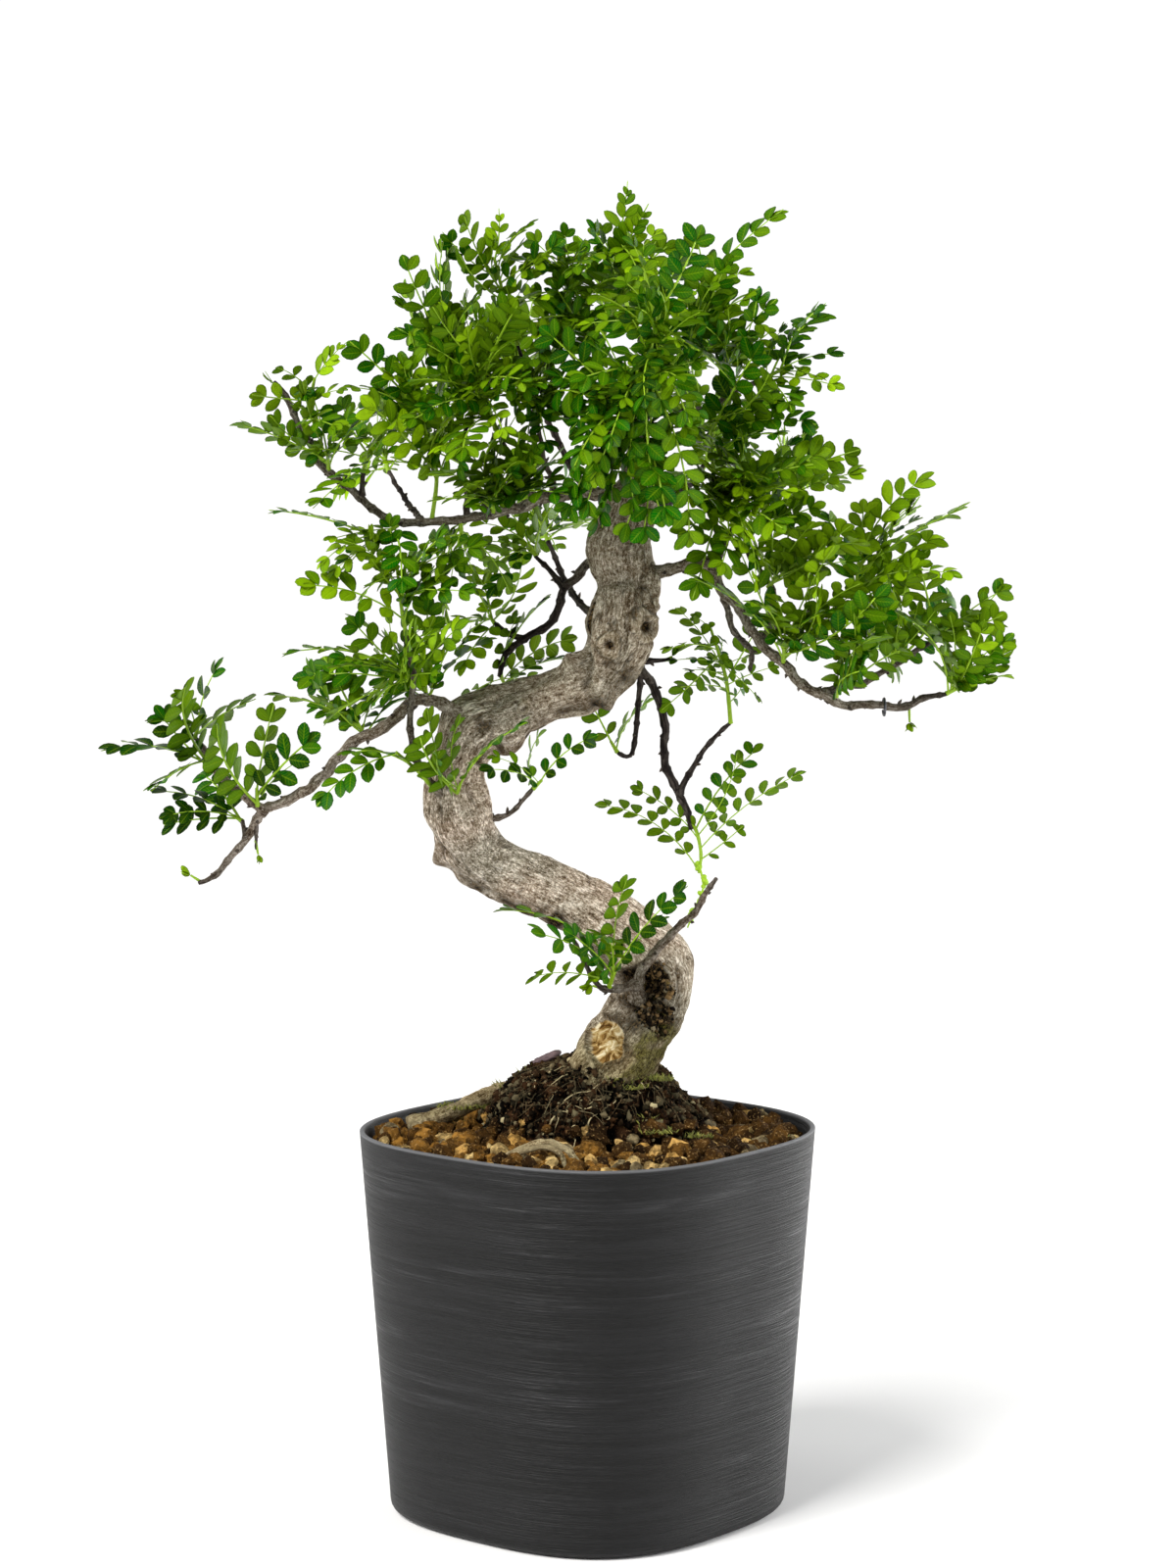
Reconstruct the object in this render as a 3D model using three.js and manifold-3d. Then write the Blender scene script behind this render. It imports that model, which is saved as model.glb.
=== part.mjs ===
// Japanese pepper tree trained as a bonsai, in a tapered rounded-square planter.
// Millimetres, +Z up. The origin is the middle of the pot's flat underside, and the
// side that is looked at first faces -Y.

import * as THREE from 'three';
import { mergeVertices } from 'three/addons/utils/BufferGeometryUtils.js';
import Module from 'manifold-3d';

const wasm = await Module();
wasm.setup();

// Driving dimensions of the planter.
const pot = {
  height: 170,
  rimHalf: 91,
  baseHalf: 79,
  corner: 2.8,
  turn: THREE.MathUtils.degToRad(39.5),
  wall: 2.8,
  lipWall: 2,
  lipDepth: 4,
  floor: 5,
  footDrop: 4.5,
  footRound: 0.28,
  segments: 40,
  drainHoles: 4,
  drainRadius: 5,
  drainReach: 42,
  drainSides: 8,
};

// What fills it: granules to just under the rim, and the peaty ball round the trunk.
const soil = { level: 165, relief: 2.6, rings: 6, scatter: 0.5, clearance: 0.3, lift: 0.3 };
const mound = {
  x: 5,
  y: 12,
  radius: 51,
  foot: 134,
  shoulder: 163,
  top: 199,
  sides: 16,
  relief: 1.6,
  fullness: 2.8,
  dome: [0.25, 0.6, 0.85, 0.97],
};

// Gap that touching pieces keep.
const seat = 0.3;

// Wood: sides of a tube by its radius, the length of one step along the trunk, and the
// flutes of its bark, by their depth and by how they wander round and along it.
const wood = { trunkSides: 12, trunkStep: 14, armSides: 5, twigSides: 4, twigRadius: 1.8, spanSteps: 8 };
const flute = { wave: 0.05, rough: 0.06, around: 1.6, along: 0.55 };

// A frond is one arched blade, cut to its rib into two pairs of leaflets and an end one.
// A shoot holds at most so many of them.
const frond = {
  thickness: 0.8,
  arch: 0.09,
  fold: 0.3,
  ribHalf: 0.8,
  rootDepth: 0.2,
  petiole: 0.14,
  pairs: 2,
  lean: 0.82,
  terminal: 0.76,
  endShoulder: 0.9,
  endWidth: 0.42,
  widthBase: 4,
  widthGrowth: 0.18,
  distance: 0.25,
  crossing: 1,
  most: 4,
};
const bend = { rings: 5, directions: 6, step: 0.13, roll: 0.12, shrink: 0.03 };
const stem = { radius: 1.1, tipRadius: 0.85, sides: 4, spacing: 9, spread: 0.75, tipGap: 0.8 };

// How fronds face: up, out from the crown's axis, and scattered.
const crown = { x: 20, y: 10, depth: 45, upward: 0.8, outward: 0.7, scatter: 1.2 };

// Small pieces: the flake of bark and the loop of wire.
const chip = {
  at: [-18, 19, 197.6],
  length: 13,
  width: 8,
  thickness: 3,
  sides: 7,
  tip: -0.4,
  ragged: 0.25,
  underside: 0.85,
  topside: 0.8,
};
const wire = { at: [128, -8, 356], armRadius: 2.7, radius: 0.6, opening: 1, points: 9, sides: 5 };

// Colour, roughness and metalness of each finish.
const finish = {
  pot: { color: 0x3b3b3b, roughness: 0.5, metalness: 0 },
  granules: { color: 0x8a5330, roughness: 0.95, metalness: 0 },
  peat: { color: 0x2b1d16, roughness: 1, metalness: 0 },
  bark: { color: 0x8d8171, roughness: 0.85, metalness: 0 },
  chip: { color: 0x5d4448, roughness: 0.8, metalness: 0 },
  leaf: { color: 0x4c8a12, roughness: 0.45, metalness: 0 },
  wire: { color: 0x54565c, roughness: 0.4, metalness: 1 },
};

// The wood, point by point from where each stretch leaves its parent: x, y, z and radius.
const routes = {
  trunk: [[1, 3, 137, 19.5], [3, 3, 161, 22.5], [6, 2, 178, 24], [10, 0, 193, 22], [20, 2, 208, 18.5],
    [28, 4, 222, 17], [29, 4, 238, 17], [16, 0, 254, 16], [-3, -2, 268, 13.5], [-26, -2, 279, 13],
    [-47, 0, 290, 13.5], [-57, -2, 308, 14], [-58, -2, 326, 12], [-50, 2, 345, 12.5],
    [-35, 6, 352, 13], [-17, 8, 359, 11.5], [1, 6, 367, 12.5], [12, 0, 381, 14], [14, -2, 397, 14],
    [15, 0, 409, 12.5], [14, 0, 422, 13.5], [16, 0, 435, 12.5], [22, 0, 448, 11], [29, 0, 458, 9.5]],
  leftArm: [[17, 0, 448, 3.8], [-2, -2, 448, 3], [-20, -5, 446, 2.8], [-34, -8, 441, 2.8],
    [-49, -11, 438, 2.3], [-67, -14, 437, 2.1], [-81, -16, 436, 2], [-92, -17, 441, 2],
    [-98, -18, 448, 2], [-110, -17, 457, 2.1], [-120, -15, 470, 1.9], [-129, -12, 489, 1.5],
    [-135, -11, 496, 1]],
  leftArmRise: [[-15, -5, 448, 1.5], [-16, -6, 455, 1.4], [-19, -8, 462, 1.3], [-21, -10, 475, 1.2],
    [-25, -13, 494, 1.1], [-30, -15, 512, 0.8]],
  leftArmFront: [[-23, -6, 446, 1.7], [-28, -12, 455, 1.5], [-34, -24, 466, 1.3], [-39, -33, 476, 1]],
  leftArmBack: [[-43, -10, 439, 1.7], [-46, -7, 447, 1.5], [-52, -2, 458, 1.3], [-58, 2, 466, 1.1],
    [-61, 4, 477, 0.9]],
  leftArmTwig: [[-52, -11, 438, 1.4], [-53, -14, 454, 1.2], [-54, -16, 470, 1.1], [-50, -16, 482, 1]],
  leftArmOuter: [[-97, -18, 448, 1.3], [-96, -20, 458, 1]],
  leftArmRear: [[-72, -14, 437, 1.5], [-79, 14, 444, 1.3], [-88, 38, 456, 1]],
  lowArm: [[-46, 0, 348, 4.5], [-55, -4, 352, 3.6], [-68, -8, 359, 3], [-76, -11, 358, 3],
    [-88, -15, 348, 3], [-104, -19, 339, 2.7], [-118, -23, 324, 2.6], [-130, -25, 317, 2.5],
    [-140, -26, 312, 2.3], [-148, -27, 300, 1.9], [-161, -28, 285, 1.5], [-168, -28, 282, 0.9]],
  lowArmFork: [[-138, -26, 312, 2.1], [-149, -29, 320, 1.9], [-158, -32, 329, 1.8],
    [-164, -34, 339, 1.5], [-168, -35, 345, 1]],
  lowArmSpur: [[-147, -27, 301, 1.3], [-149, -24, 308, 0.9]],
  frontTwig: [[-59, -4, 313, 3], [-65, -14, 320, 2.1], [-71, -20, 329, 1.8], [-76, -23, 343, 1.7],
    [-76, -23, 357, 1.6], [-75, -22, 370, 1.5], [-78, -22, 388, 1.2]],
  rearLeft: [[11, 2, 425, 3.4], [2, 10, 419, 2.6], [-10, 18, 406, 2.2], [-18, 24, 389, 2.1],
    [-26, 27, 385, 1.8], [-36, 31, 376, 1.7], [-39, 34, 366, 1.3]],
  rearLeftUpper: [[-10, 18, 405, 1.5], [-17, 22, 414, 1.3], [-23, 26, 420, 1]],
  rearLeftLower: [[-29, 28, 383, 1.4], [-36, 32, 386, 1.2], [-41, 36, 389, 1]],
  rightArm: [[19, 0, 411, 4.5], [28, -1, 413, 3.6], [36, -4, 415, 3], [50, -8, 418, 2.8],
    [58, -12, 407, 2.7], [68, -15, 394, 2.6], [76, -17, 383, 2.5], [85, -18, 374, 2.5],
    [92, -17, 366, 2.5], [100, -15, 362, 2.4], [112, -12, 357, 2.2], [127, -8, 357, 2],
    [137, -5, 356, 1.9], [147, -2, 360, 1.6], [156, 2, 361, 1.1]],
  rightArmFork: [[100, -15, 362, 1.9], [110, -10, 365, 1.8], [120, -4, 366, 1.7], [132, 3, 372, 1.6],
    [144, 9, 380, 1.4], [153, 14, 384, 1]],
  rightArmInner: [[74, -16, 386, 1.9], [87, -6, 394, 1.6], [99, 4, 397, 1.4], [115, 14, 394, 1.1]],
  rightArmRise: [[76, -16, 385, 1.7], [79, -12, 397, 1.6], [80, -8, 406, 1.5], [74, -4, 416, 1.4],
    [69, 2, 425, 1.2], [72, 4, 432, 1]],
  rightArmStub: [[58, -12, 407, 1.7], [63, -8, 389, 1.5], [71, -8, 381, 1.4], [70, -8, 372, 1]],
  rightArmMast: [[47, -8, 417, 1.9], [57, -10, 422, 1.7], [55, -12, 435, 1.5], [53, -13, 446, 1.4],
    [54, -14, 457, 1.1]],
  rightArmRear: [[50, -8, 418, 1.9], [58, 12, 424, 1.7], [70, 36, 439, 1.5], [82, 56, 448, 1.1]],
  rightArmBack: [[104, -14, 360, 1.7], [115, 18, 366, 1.4], [124, 42, 378, 1]],
  hanging: [[15, 4, 380, 3], [22, 14, 372, 2.4], [29, 20, 363, 2.2], [33, 24, 351, 2.1],
    [34, 26, 337, 2], [34, 27, 326, 2.1], [39, 28, 317, 2], [44, 28, 306, 1.6], [46, 27, 299, 1.1]],
  hangingHook: [[23, 15, 371, 1.6], [23, 20, 362, 1.4], [22, 24, 349, 1.4], [19, 26, 332, 1.2],
    [13, 26, 333, 0.9]],
  hangingRise: [[40, 28, 314, 1.6], [48, 26, 329, 1.4], [55, 25, 339, 1.2], [63, 24, 346, 1]],
  footTwig: [[22, -6, 228, 3.2], [23, -16, 242, 2.5], [34, -24, 257, 2.1], [44, -28, 266, 1.8],
    [50, -30, 276, 1.5], [55, -31, 284, 1]],
  footTwigLeft: [[21, -13, 235, 2.1], [8, -20, 234, 1.6], [3, -21, 238, 1.4], [-4, -18, 251, 1.1],
    [-7, -17, 257, 0.7]],
  bendTwig: [[-49, -4, 305, 1.9], [-40, -5, 307, 1.5], [-32, -6, 311, 1.2], [-24, -6, 320, 1]],
  leader: [[23, 2, 453, 3.9], [17, 2, 459, 2.8], [12, 2, 469, 2.2], [7, 0, 477, 2], [6, -2, 492, 1.8],
    [5, -2, 508, 1.5]],
  crownRight: [[26, 0, 454, 3.2], [30, -4, 469, 2.1], [36, -6, 482, 1.9], [52, -10, 485, 1.7],
    [62, -12, 492, 1.6], [74, -12, 497, 1.3]],
  crownFront: [[22, -6, 448, 2.8], [18, -22, 460, 2.1], [18, -32, 469, 1.8]],
  crownRear: [[25, 8, 449, 3.2], [22, 32, 468, 2.4], [27, 52, 490, 1.9], [24, 66, 512, 1.3],
    [18, 72, 527, 1]],
  crownRearLeft: [[0, -2, 448, 1.9], [-9, 24, 462, 1.7], [-19, 44, 481, 1.4], [-30, 58, 497, 1.1]],
  crownRearLow: [[17, 6, 432, 3], [30, 40, 440, 2.2], [44, 66, 448, 1.7], [53, 84, 459, 1.2]],
  trunkRear: [[13, 8, 390, 3], [0, 44, 394, 2], [-11, 66, 408, 1.6], [-18, 78, 424, 1.1]],
  rootLeft: [[0, 4, 172, 7], [-20, 18, 181, 5], [-38, 22, 182, 3.4], [-60, 14, 174, 3.2], [-79, 6, 170, 3]],
  rootFront: [[0, 2, 150, 5], [-24, -30, 154, 2.4], [-44, -56, 160, 1.8], [-38, -62, 167, 1.6],
    [-19, -60, 174.5, 1.6], [-7, -64, 170, 1.5], [-3, -76, 164, 1.2]],
};

// Swollen places of the trunk: the bulge and flares of the foot, nubs, knots and collars,
// each by its middle, its reach and how far it lifts the bark.
const swellings = [
  { at: [46, 0, 251], reach: 15, lift: 5 },
  { at: [-16, -5, 188], reach: 16, lift: 5 },
  { at: [34, 2, 192], reach: 14, lift: 4 },
  { at: [-72, 0, 288], reach: 8, lift: 6 },
  { at: [-34, 2, 337], reach: 8, lift: 5 },
  { at: [34, -1, 413], reach: 9, lift: 5 },
  { at: [-56, 0, 352], reach: 9, lift: 4 },
  { at: [26, -14, 391], reach: 7, lift: 3 },
  { at: [9, -14, 382], reach: 7, lift: 3 },
];

// The leafy shoots: the way of each green stem, and the tips that its fronds reach,
// the first from the end of the stem and the others one below the other.
const shoots = {
  crown_tip: { stem: [[5, -2, 508], [9, -5, 525], [12, -8, 540], [14, -9, 559]],
    tips: [[17, -8, 582], [26, -26, 572], [-1, -22, 565], [-9, 25, 556], [36, 22, 538]] },
  crown_left: { stem: [[6, -2, 500], [0, -6, 517], [-5, -10, 534], [-7, -12, 545]],
    tips: [[-10, -16, 564], [-33, -26, 549], [16, -52, 538], [-23, -50, 513]] },
  left_peak: { stem: [[-30, -15, 512], [-35, -17, 529], [-40, -18, 549]],
    tips: [[-38, -18, 570], [-22, -12, 559], [-54, -44, 550], [-16, -58, 530]] },
  left_face: { stem: [[-50, -16, 482], [-52, -18, 496], [-54, -19, 510]],
    tips: [[-57, -25, 556], [-78, -20, 541], [-83, -14, 520], [-29, -45, 533]] },
  left_shoulder: { stem: [[-67, -14, 438], [-65, -16, 458], [-70, -18, 477], [-71, -18, 484]],
    tips: [[-102, -26, 514], [-72, -20, 520], [-41, -40, 504], [-96, -50, 491]] },
  left_end_upper: { stem: [[-123, -14, 475], [-119, -15, 489], [-117, -15, 498]],
    tips: [[-102, -18, 514], [-144, -22, 491], [-103, -42, 476]] },
  left_end_middle: { stem: [[-111, -17, 458], [-111, -26, 465]],
    tips: [[-121, -34, 497], [-151, -34, 479], [-86, -46, 484]] },
  left_outer: { stem: [[-96, -20, 458], [-94, -22, 467]],
    tips: [[-106, -6, 490], [-70, -50, 484], [-116, -56, 443]] },
  left_below: { stem: [[-82, -16, 435], [-90, -24, 429]],
    tips: [[-137, -30, 442], [-116, -30, 416], [-79, -46, 406]] },
  front_shoot: { stem: [[-78, -22, 388], [-80, -22, 400], [-82, -21, 419]],
    tips: [[-85, -24, 441], [-42, -32, 427], [-47, -40, 407], [-125, -34, 410]] },
  front_spur: { stem: [[-75, -23, 366], [-78, -30, 372]],
    tips: [[-131, -42, 381], [-112, -56, 353], [-51, -48, 396]] },
  low_knee: { stem: [[-69, -9, 358], [-71, -6, 365]],
    tips: [[-128, 4, 367], [-107, 10, 394], [-68, -8, 405], [-40, -4, 386]] },
  low_middle: { stem: [[-96, -17, 343], [-99, -15, 349]],
    tips: [[-139, -16, 362], [-116, 12, 377], [-79, 34, 362]] },
  low_hanging: { stem: [[-66, -14, 320], [-73, -28, 330], [-82, -36, 339]],
    tips: [[-116, -46, 316], [-104, -54, 339]] },
  low_fork: { stem: [[-142, -28, 315], [-142, -31, 323]],
    tips: [[-134, -32, 360], [-115, -34, 347], [-156, -62, 354]] },
  low_end_upper: { stem: [[-168, -35, 345], [-166, -36, 351]],
    tips: [[-155, -38, 379], [-188, -42, 352], [-143, -12, 360]] },
  low_end_middle: { stem: [[-162, -33, 334], [-166, -38, 336]],
    tips: [[-208, -44, 340], [-184, -66, 325], [-168, -70, 370]] },
  low_end_lower: { stem: [[-149, -24, 308], [-153, -20, 310]],
    tips: [[-189, -26, 321], [-184, -14, 305], [-170, 16, 324]] },
  rear_left_upper: { stem: [[-23, 26, 420], [-26, 27, 425]],
    tips: [[-52, 20, 434], [-43, 12, 402], [-10, 54, 448]] },
  rear_left_lower: { stem: [[-41, 36, 389], [-44, 37, 393]],
    tips: [[-66, 26, 420], [-71, 46, 383], [-30, 62, 421], [-56, 10, 368]] },
  rear_left_end: { stem: [[-39, 34, 367], [-37, 38, 362]],
    tips: [[-60, 40, 344], [-4, 52, 382], [-17, 20, 402]] },
  left_front: { stem: [[-39, -33, 476], [-44, -44, 492], [-46, -48, 504]],
    tips: [[-65, -56, 528], [-29, -72, 528], [-74, -76, 497], [-18, -84, 496], [-52, -84, 464]] },
  left_back: { stem: [[-61, 4, 477], [-64, 6, 486]],
    tips: [[-91, 12, 507], [-68, 24, 522], [-41, 34, 513]] },
  left_rear: { stem: [[-88, 38, 456], [-90, 42, 462]],
    tips: [[-118, 52, 483], [-88, 62, 498], [-113, 72, 447], [-66, 80, 469]] },
  arm_front: { stem: [[-41, -10, 440], [-40, -20, 446]],
    tips: [[-66, -52, 457], [-29, -52, 476], [-7, -54, 449]] },
  arm_below: { stem: [[-55, -12, 436], [-54, -15, 430]],
    tips: [[-78, 10, 416], [-34, 0, 405], [-58, -34, 392]] },
  rise_front: { stem: [[-23, -12, 485], [-20, -20, 490]],
    tips: [[-4, -46, 521], [8, -64, 487], [-42, -34, 513]] },
  front_peak: { stem: [[18, -31, 467], [21, -50, 492], [28, -62, 513], [26, -66, 532]],
    tips: [[16, -62, 558], [47, -70, 562], [4, -96, 532], [46, -92, 525], [-8, -80, 496],
      [40, -92, 496], [-6, -84, 461], [33, -76, 436]] },
  right_peak: { stem: [[36, -6, 482], [41, -10, 496], [44, -14, 515], [44, -16, 533]],
    tips: [[84, -22, 570], [45, -18, 561], [71, -44, 533], [22, 10, 534]] },
  right_middle: { stem: [[62, -12, 492], [60, -14, 502], [60, -15, 510]],
    tips: [[81, -20, 532], [58, 10, 542], [37, -54, 512]] },
  right_end: { stem: [[74, -12, 497], [80, -13, 500], [84, -13, 502]],
    tips: [[102, -22, 530], [110, -10, 508], [105, 20, 525], [86, -44, 484]] },
  mast_top: { stem: [[54, -14, 457], [53, -15, 471], [53, -15, 482]],
    tips: [[84, -26, 487], [74, -40, 514], [26, -46, 484], [66, -62, 456]] },
  mast_middle: { stem: [[54, -13, 444], [57, -19, 448]],
    tips: [[103, -32, 468], [21, -60, 454], [82, -64, 435]] },
  right_rear: { stem: [[82, 56, 448], [88, 60, 453]],
    tips: [[122, 56, 466], [98, 30, 475], [117, 100, 446], [85, 104, 473]] },
  rise_top: { stem: [[72, 4, 432], [74, 2, 438]],
    tips: [[101, 0, 456], [50, 32, 444], [106, -26, 425]] },
  rise_side: { stem: [[78, -7, 408], [82, -15, 413]],
    tips: [[118, -44, 428], [56, -54, 432], [102, 22, 432]] },
  right_spur: { stem: [[84, -18, 376], [84, -27, 383]],
    tips: [[104, -50, 428], [127, -50, 413], [43, -62, 415]] },
  inner_shoot: { stem: [[115, 14, 394], [117, 12, 406], [118, 10, 419]],
    tips: [[150, 4, 457], [165, -8, 443], [102, 34, 440], [157, 34, 428]] },
  right_low: { stem: [[107, -13, 359], [108, -17, 366]],
    tips: [[117, -34, 402], [124, -58, 390]] },
  fork_middle: { stem: [[132, 3, 372], [134, 2, 380]],
    tips: [[142, -4, 424], [120, 24, 411], [160, 36, 405]] },
  fork_end: { stem: [[153, 14, 384], [157, 16, 386]],
    tips: [[186, 16, 407], [180, -6, 396], [143, -24, 415]] },
  right_tip: { stem: [[156, 2, 361], [161, 3, 363]],
    tips: [[185, 4, 385], [183, -12, 370], [147, -30, 392], [128, -40, 400]] },
  right_back: { stem: [[124, 42, 378], [127, 46, 384]],
    tips: [[150, 60, 413], [115, 72, 416], [137, 94, 362]] },
  hanging_shoot: { stem: [[63, 24, 346], [61, 24, 365], [57, 24, 379], [54, 24, 388]],
    tips: [[45, 20, 394], [32, 8, 378], [73, 36, 374], [39, 44, 360]] },
  hanging_end: { stem: [[44, 28, 303], [48, 26, 298], [50, 22, 288], [49, 20, 280]],
    tips: [[2, 6, 312], [68, 10, 302], [96, 22, 325], [19, 34, 317], [78, 40, 335]] },
  hook_end: { stem: [[13, 26, 333], [10, 26, 338]],
    tips: [[-1, 18, 360], [30, 50, 355]] },
  foot_spray: { stem: [[9, -20, 235], [11, -30, 244], [9, -32, 251]],
    tips: [[-41, -30, 270], [17, -44, 286], [44, -34, 282], [-25, -56, 264]] },
  bend_end: { stem: [[-24, -6, 320], [-20, -6, 324]],
    tips: [[5, -8, 344], [-47, -24, 330], [-19, 18, 344]] },
  bend_front: { stem: [[-58, -8, 315], [-55, -22, 324]],
    tips: [[-25, -44, 353], [-71, -52, 347]] },
  crown_rear: { stem: [[18, 72, 527], [16, 75, 539]],
    tips: [[-5, 82, 562], [40, 72, 559], [3, 122, 522], [32, 118, 527]] },
  crown_back: { stem: [[27, 52, 490], [32, 62, 494]],
    tips: [[63, 78, 518], [18, 112, 509], [56, 102, 477]] },
  left_hind: { stem: [[-30, 58, 497], [-33, 63, 504]],
    tips: [[-57, 60, 531], [-23, 76, 540], [-62, 98, 491], [-18, 116, 500]] },
  rear_right: { stem: [[53, 84, 459], [57, 91, 466]],
    tips: [[86, 100, 495], [50, 112, 504], [33, 130, 468], [86, 122, 446]] },
  rear_low: { stem: [[-18, 78, 424], [-21, 83, 430]],
    tips: [[-49, 88, 453], [-13, 100, 466], [-48, 116, 410], [6, 124, 429]] },
};

const up = new THREE.Vector3(0, 0, 1);
const tau = 2 * Math.PI;

// A way that runs along x by more than this share starts its rings from y instead.
const steep = 0.954;

// A settled draw between 0 and 1 for three counting numbers.
function draw(a, b, c) {
  const wave = Math.sin(a * 12.9898 + b * 78.233 + c * 37.719) * 43758.5453;
  return wave - Math.floor(wave);
}

// Closed triangle mesh to solid, with its shared points merged.
function solidOf(points, triangles) {
  const geometry = new THREE.BufferGeometry();
  geometry.setAttribute('position', new THREE.Float32BufferAttribute(points.flatMap((p) => p.toArray()), 3));
  geometry.setIndex(triangles.flat());
  const merged = mergeVertices(geometry, 1e-4);
  const mesh = new wasm.Mesh({
    numProp: 3,
    vertProperties: new Float32Array(merged.attributes.position.array),
    triVerts: new Uint32Array(merged.index.array),
  });
  return new wasm.Manifold(mesh);
}

// Stock three.js shape to solid: only its positions matter.
function solidFrom(geometry) {
  const bare = geometry.index ? geometry.toNonIndexed() : geometry;
  bare.deleteAttribute('normal');
  bare.deleteAttribute('uv');
  const merged = mergeVertices(bare, 1e-4);
  const points = [];
  for (let i = 0; i < merged.attributes.position.count; i += 1) {
    points.push(new THREE.Vector3().fromBufferAttribute(merged.attributes.position, i));
  }
  const index = merged.index.array;
  const triangles = [];
  for (let i = 0; i < index.length; i += 3) {
    triangles.push([index[i], index[i + 1], index[i + 2]]);
  }
  return solidOf(points, triangles);
}

// Rings of equally many points, bottom one first and counter-clockwise from above, closed
// by a fan at each end.
function ringSolid(rings, startCentre, endCentre) {
  const count = rings[0].length;
  const points = rings.flat();
  const triangles = [];
  for (let r = 0; r + 1 < rings.length; r += 1) {
    for (let i = 0; i < count; i += 1) {
      const a = r * count + i;
      const b = r * count + ((i + 1) % count);
      triangles.push([a, b, b + count], [a, b + count, a + count]);
    }
  }
  const start = points.push(startCentre) - 1;
  const end = points.push(endCentre) - 1;
  const last = (rings.length - 1) * count;
  for (let i = 0; i < count; i += 1) {
    const next = (i + 1) % count;
    triangles.push([next, i, start], [last + i, last + next, end]);
  }
  return solidOf(points, triangles);
}

// Stops of a tube straight from rows of x, y, z and radius.
function stopsOf(rows) {
  return rows.map(([x, y, z, radius]) => ({ point: new THREE.Vector3(x, y, z), radius }));
}

// Uniform Catmull-Rom way through points that carry a radius as their fourth number.
function wayAt(rows, t) {
  const last = rows.length - 1;
  const i = Math.min(Math.floor(t), last - 1);
  const f = t - i;
  const row = (k) => rows[Math.min(Math.max(k, 0), last)];
  const [a, b, c, d] = [row(i - 1), row(i), row(i + 1), row(i + 2)];
  const blend = (k) => 0.5 * (2 * b[k] + (c[k] - a[k]) * f + (2 * a[k] - 5 * b[k] + 4 * c[k] - d[k]) * f * f
    + (3 * b[k] - a[k] - 3 * c[k] + d[k]) * f * f * f);
  return { point: new THREE.Vector3(blend(0), blend(1), blend(2)), radius: b[3] + (c[3] - b[3]) * f };
}

// The way cut into steps of nearly one length.
function stepsAlong(rows, step) {
  const fine = [];
  for (let k = 0; k <= (rows.length - 1) * wood.spanSteps; k += 1) {
    fine.push(wayAt(rows, k / wood.spanSteps));
  }
  const reach = [0];
  for (let k = 1; k < fine.length; k += 1) {
    reach.push(reach[k - 1] + fine[k].point.distanceTo(fine[k - 1].point));
  }
  const length = reach[reach.length - 1];
  const count = Math.max(1, Math.round(length / step));
  const stops = [];
  for (let k = 0, j = 1; k <= count; k += 1) {
    const target = (length * k) / count;
    while (j < fine.length - 1 && reach[j] < target) {
      j += 1;
    }
    const f = (target - reach[j - 1]) / (reach[j] - reach[j - 1]);
    stops.push({
      point: fine[j - 1].point.clone().lerp(fine[j].point, f),
      radius: fine[j - 1].radius + (fine[j].radius - fine[j - 1].radius) * f,
    });
  }
  return { stops, length };
}

// Round tube through its stops, carried without twist, and grown by an allowance if asked.
// The swell adds to the radius by stop, side and place.
function tube(stops, sides, grow = 0, swell = () => 0) {
  const heading = (k) => {
    const from = stops[Math.max(k - 1, 0)].point;
    const to = stops[Math.min(k + 1, stops.length - 1)].point;
    return to.clone().sub(from).normalize();
  };
  let forward = heading(0);
  const side = new THREE.Vector3(1, 0, 0);
  if (Math.abs(forward.x) > steep) {
    side.set(0, 1, 0);
  }
  side.projectOnPlane(forward).normalize();
  const rings = stops.map((stop, k) => {
    const next = heading(k);
    side.applyQuaternion(new THREE.Quaternion().setFromUnitVectors(forward, next));
    forward = next;
    const over = forward.clone().cross(side);
    return Array.from({ length: sides }, (_, i) => {
      const angle = (tau * i) / sides;
      const out = side.clone().multiplyScalar(Math.cos(angle)).addScaledVector(over, Math.sin(angle));
      const bare = stop.point.clone().addScaledVector(out, stop.radius);
      return bare.addScaledVector(out, swell(stop, k, i, bare) + grow);
    });
  });
  const first = stops[0].point.clone().addScaledVector(heading(0), -grow);
  const final = stops[stops.length - 1].point.clone().addScaledVector(heading(stops.length - 1), grow);
  return ringSolid(rings, first, final);
}

// Half width of the pot's outside at a height, from flat to flat.
function potHalf(z) {
  return pot.baseHalf + ((pot.rimHalf - pot.baseHalf) * z) / pot.height;
}

// Rounded square: |cos|^n + |sin|^n = 1, turned so that one corner faces the front.
function potRing(half, z) {
  return Array.from({ length: pot.segments }, (_, i) => {
    const angle = (tau * i) / pot.segments;
    const own = angle + pot.turn;
    const reach = half * (Math.abs(Math.cos(own)) ** pot.corner + Math.abs(Math.sin(own)) ** pot.corner)
      ** (-1 / pot.corner);
    return new THREE.Vector3(reach * Math.cos(angle), reach * Math.sin(angle), z);
  });
}

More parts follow.
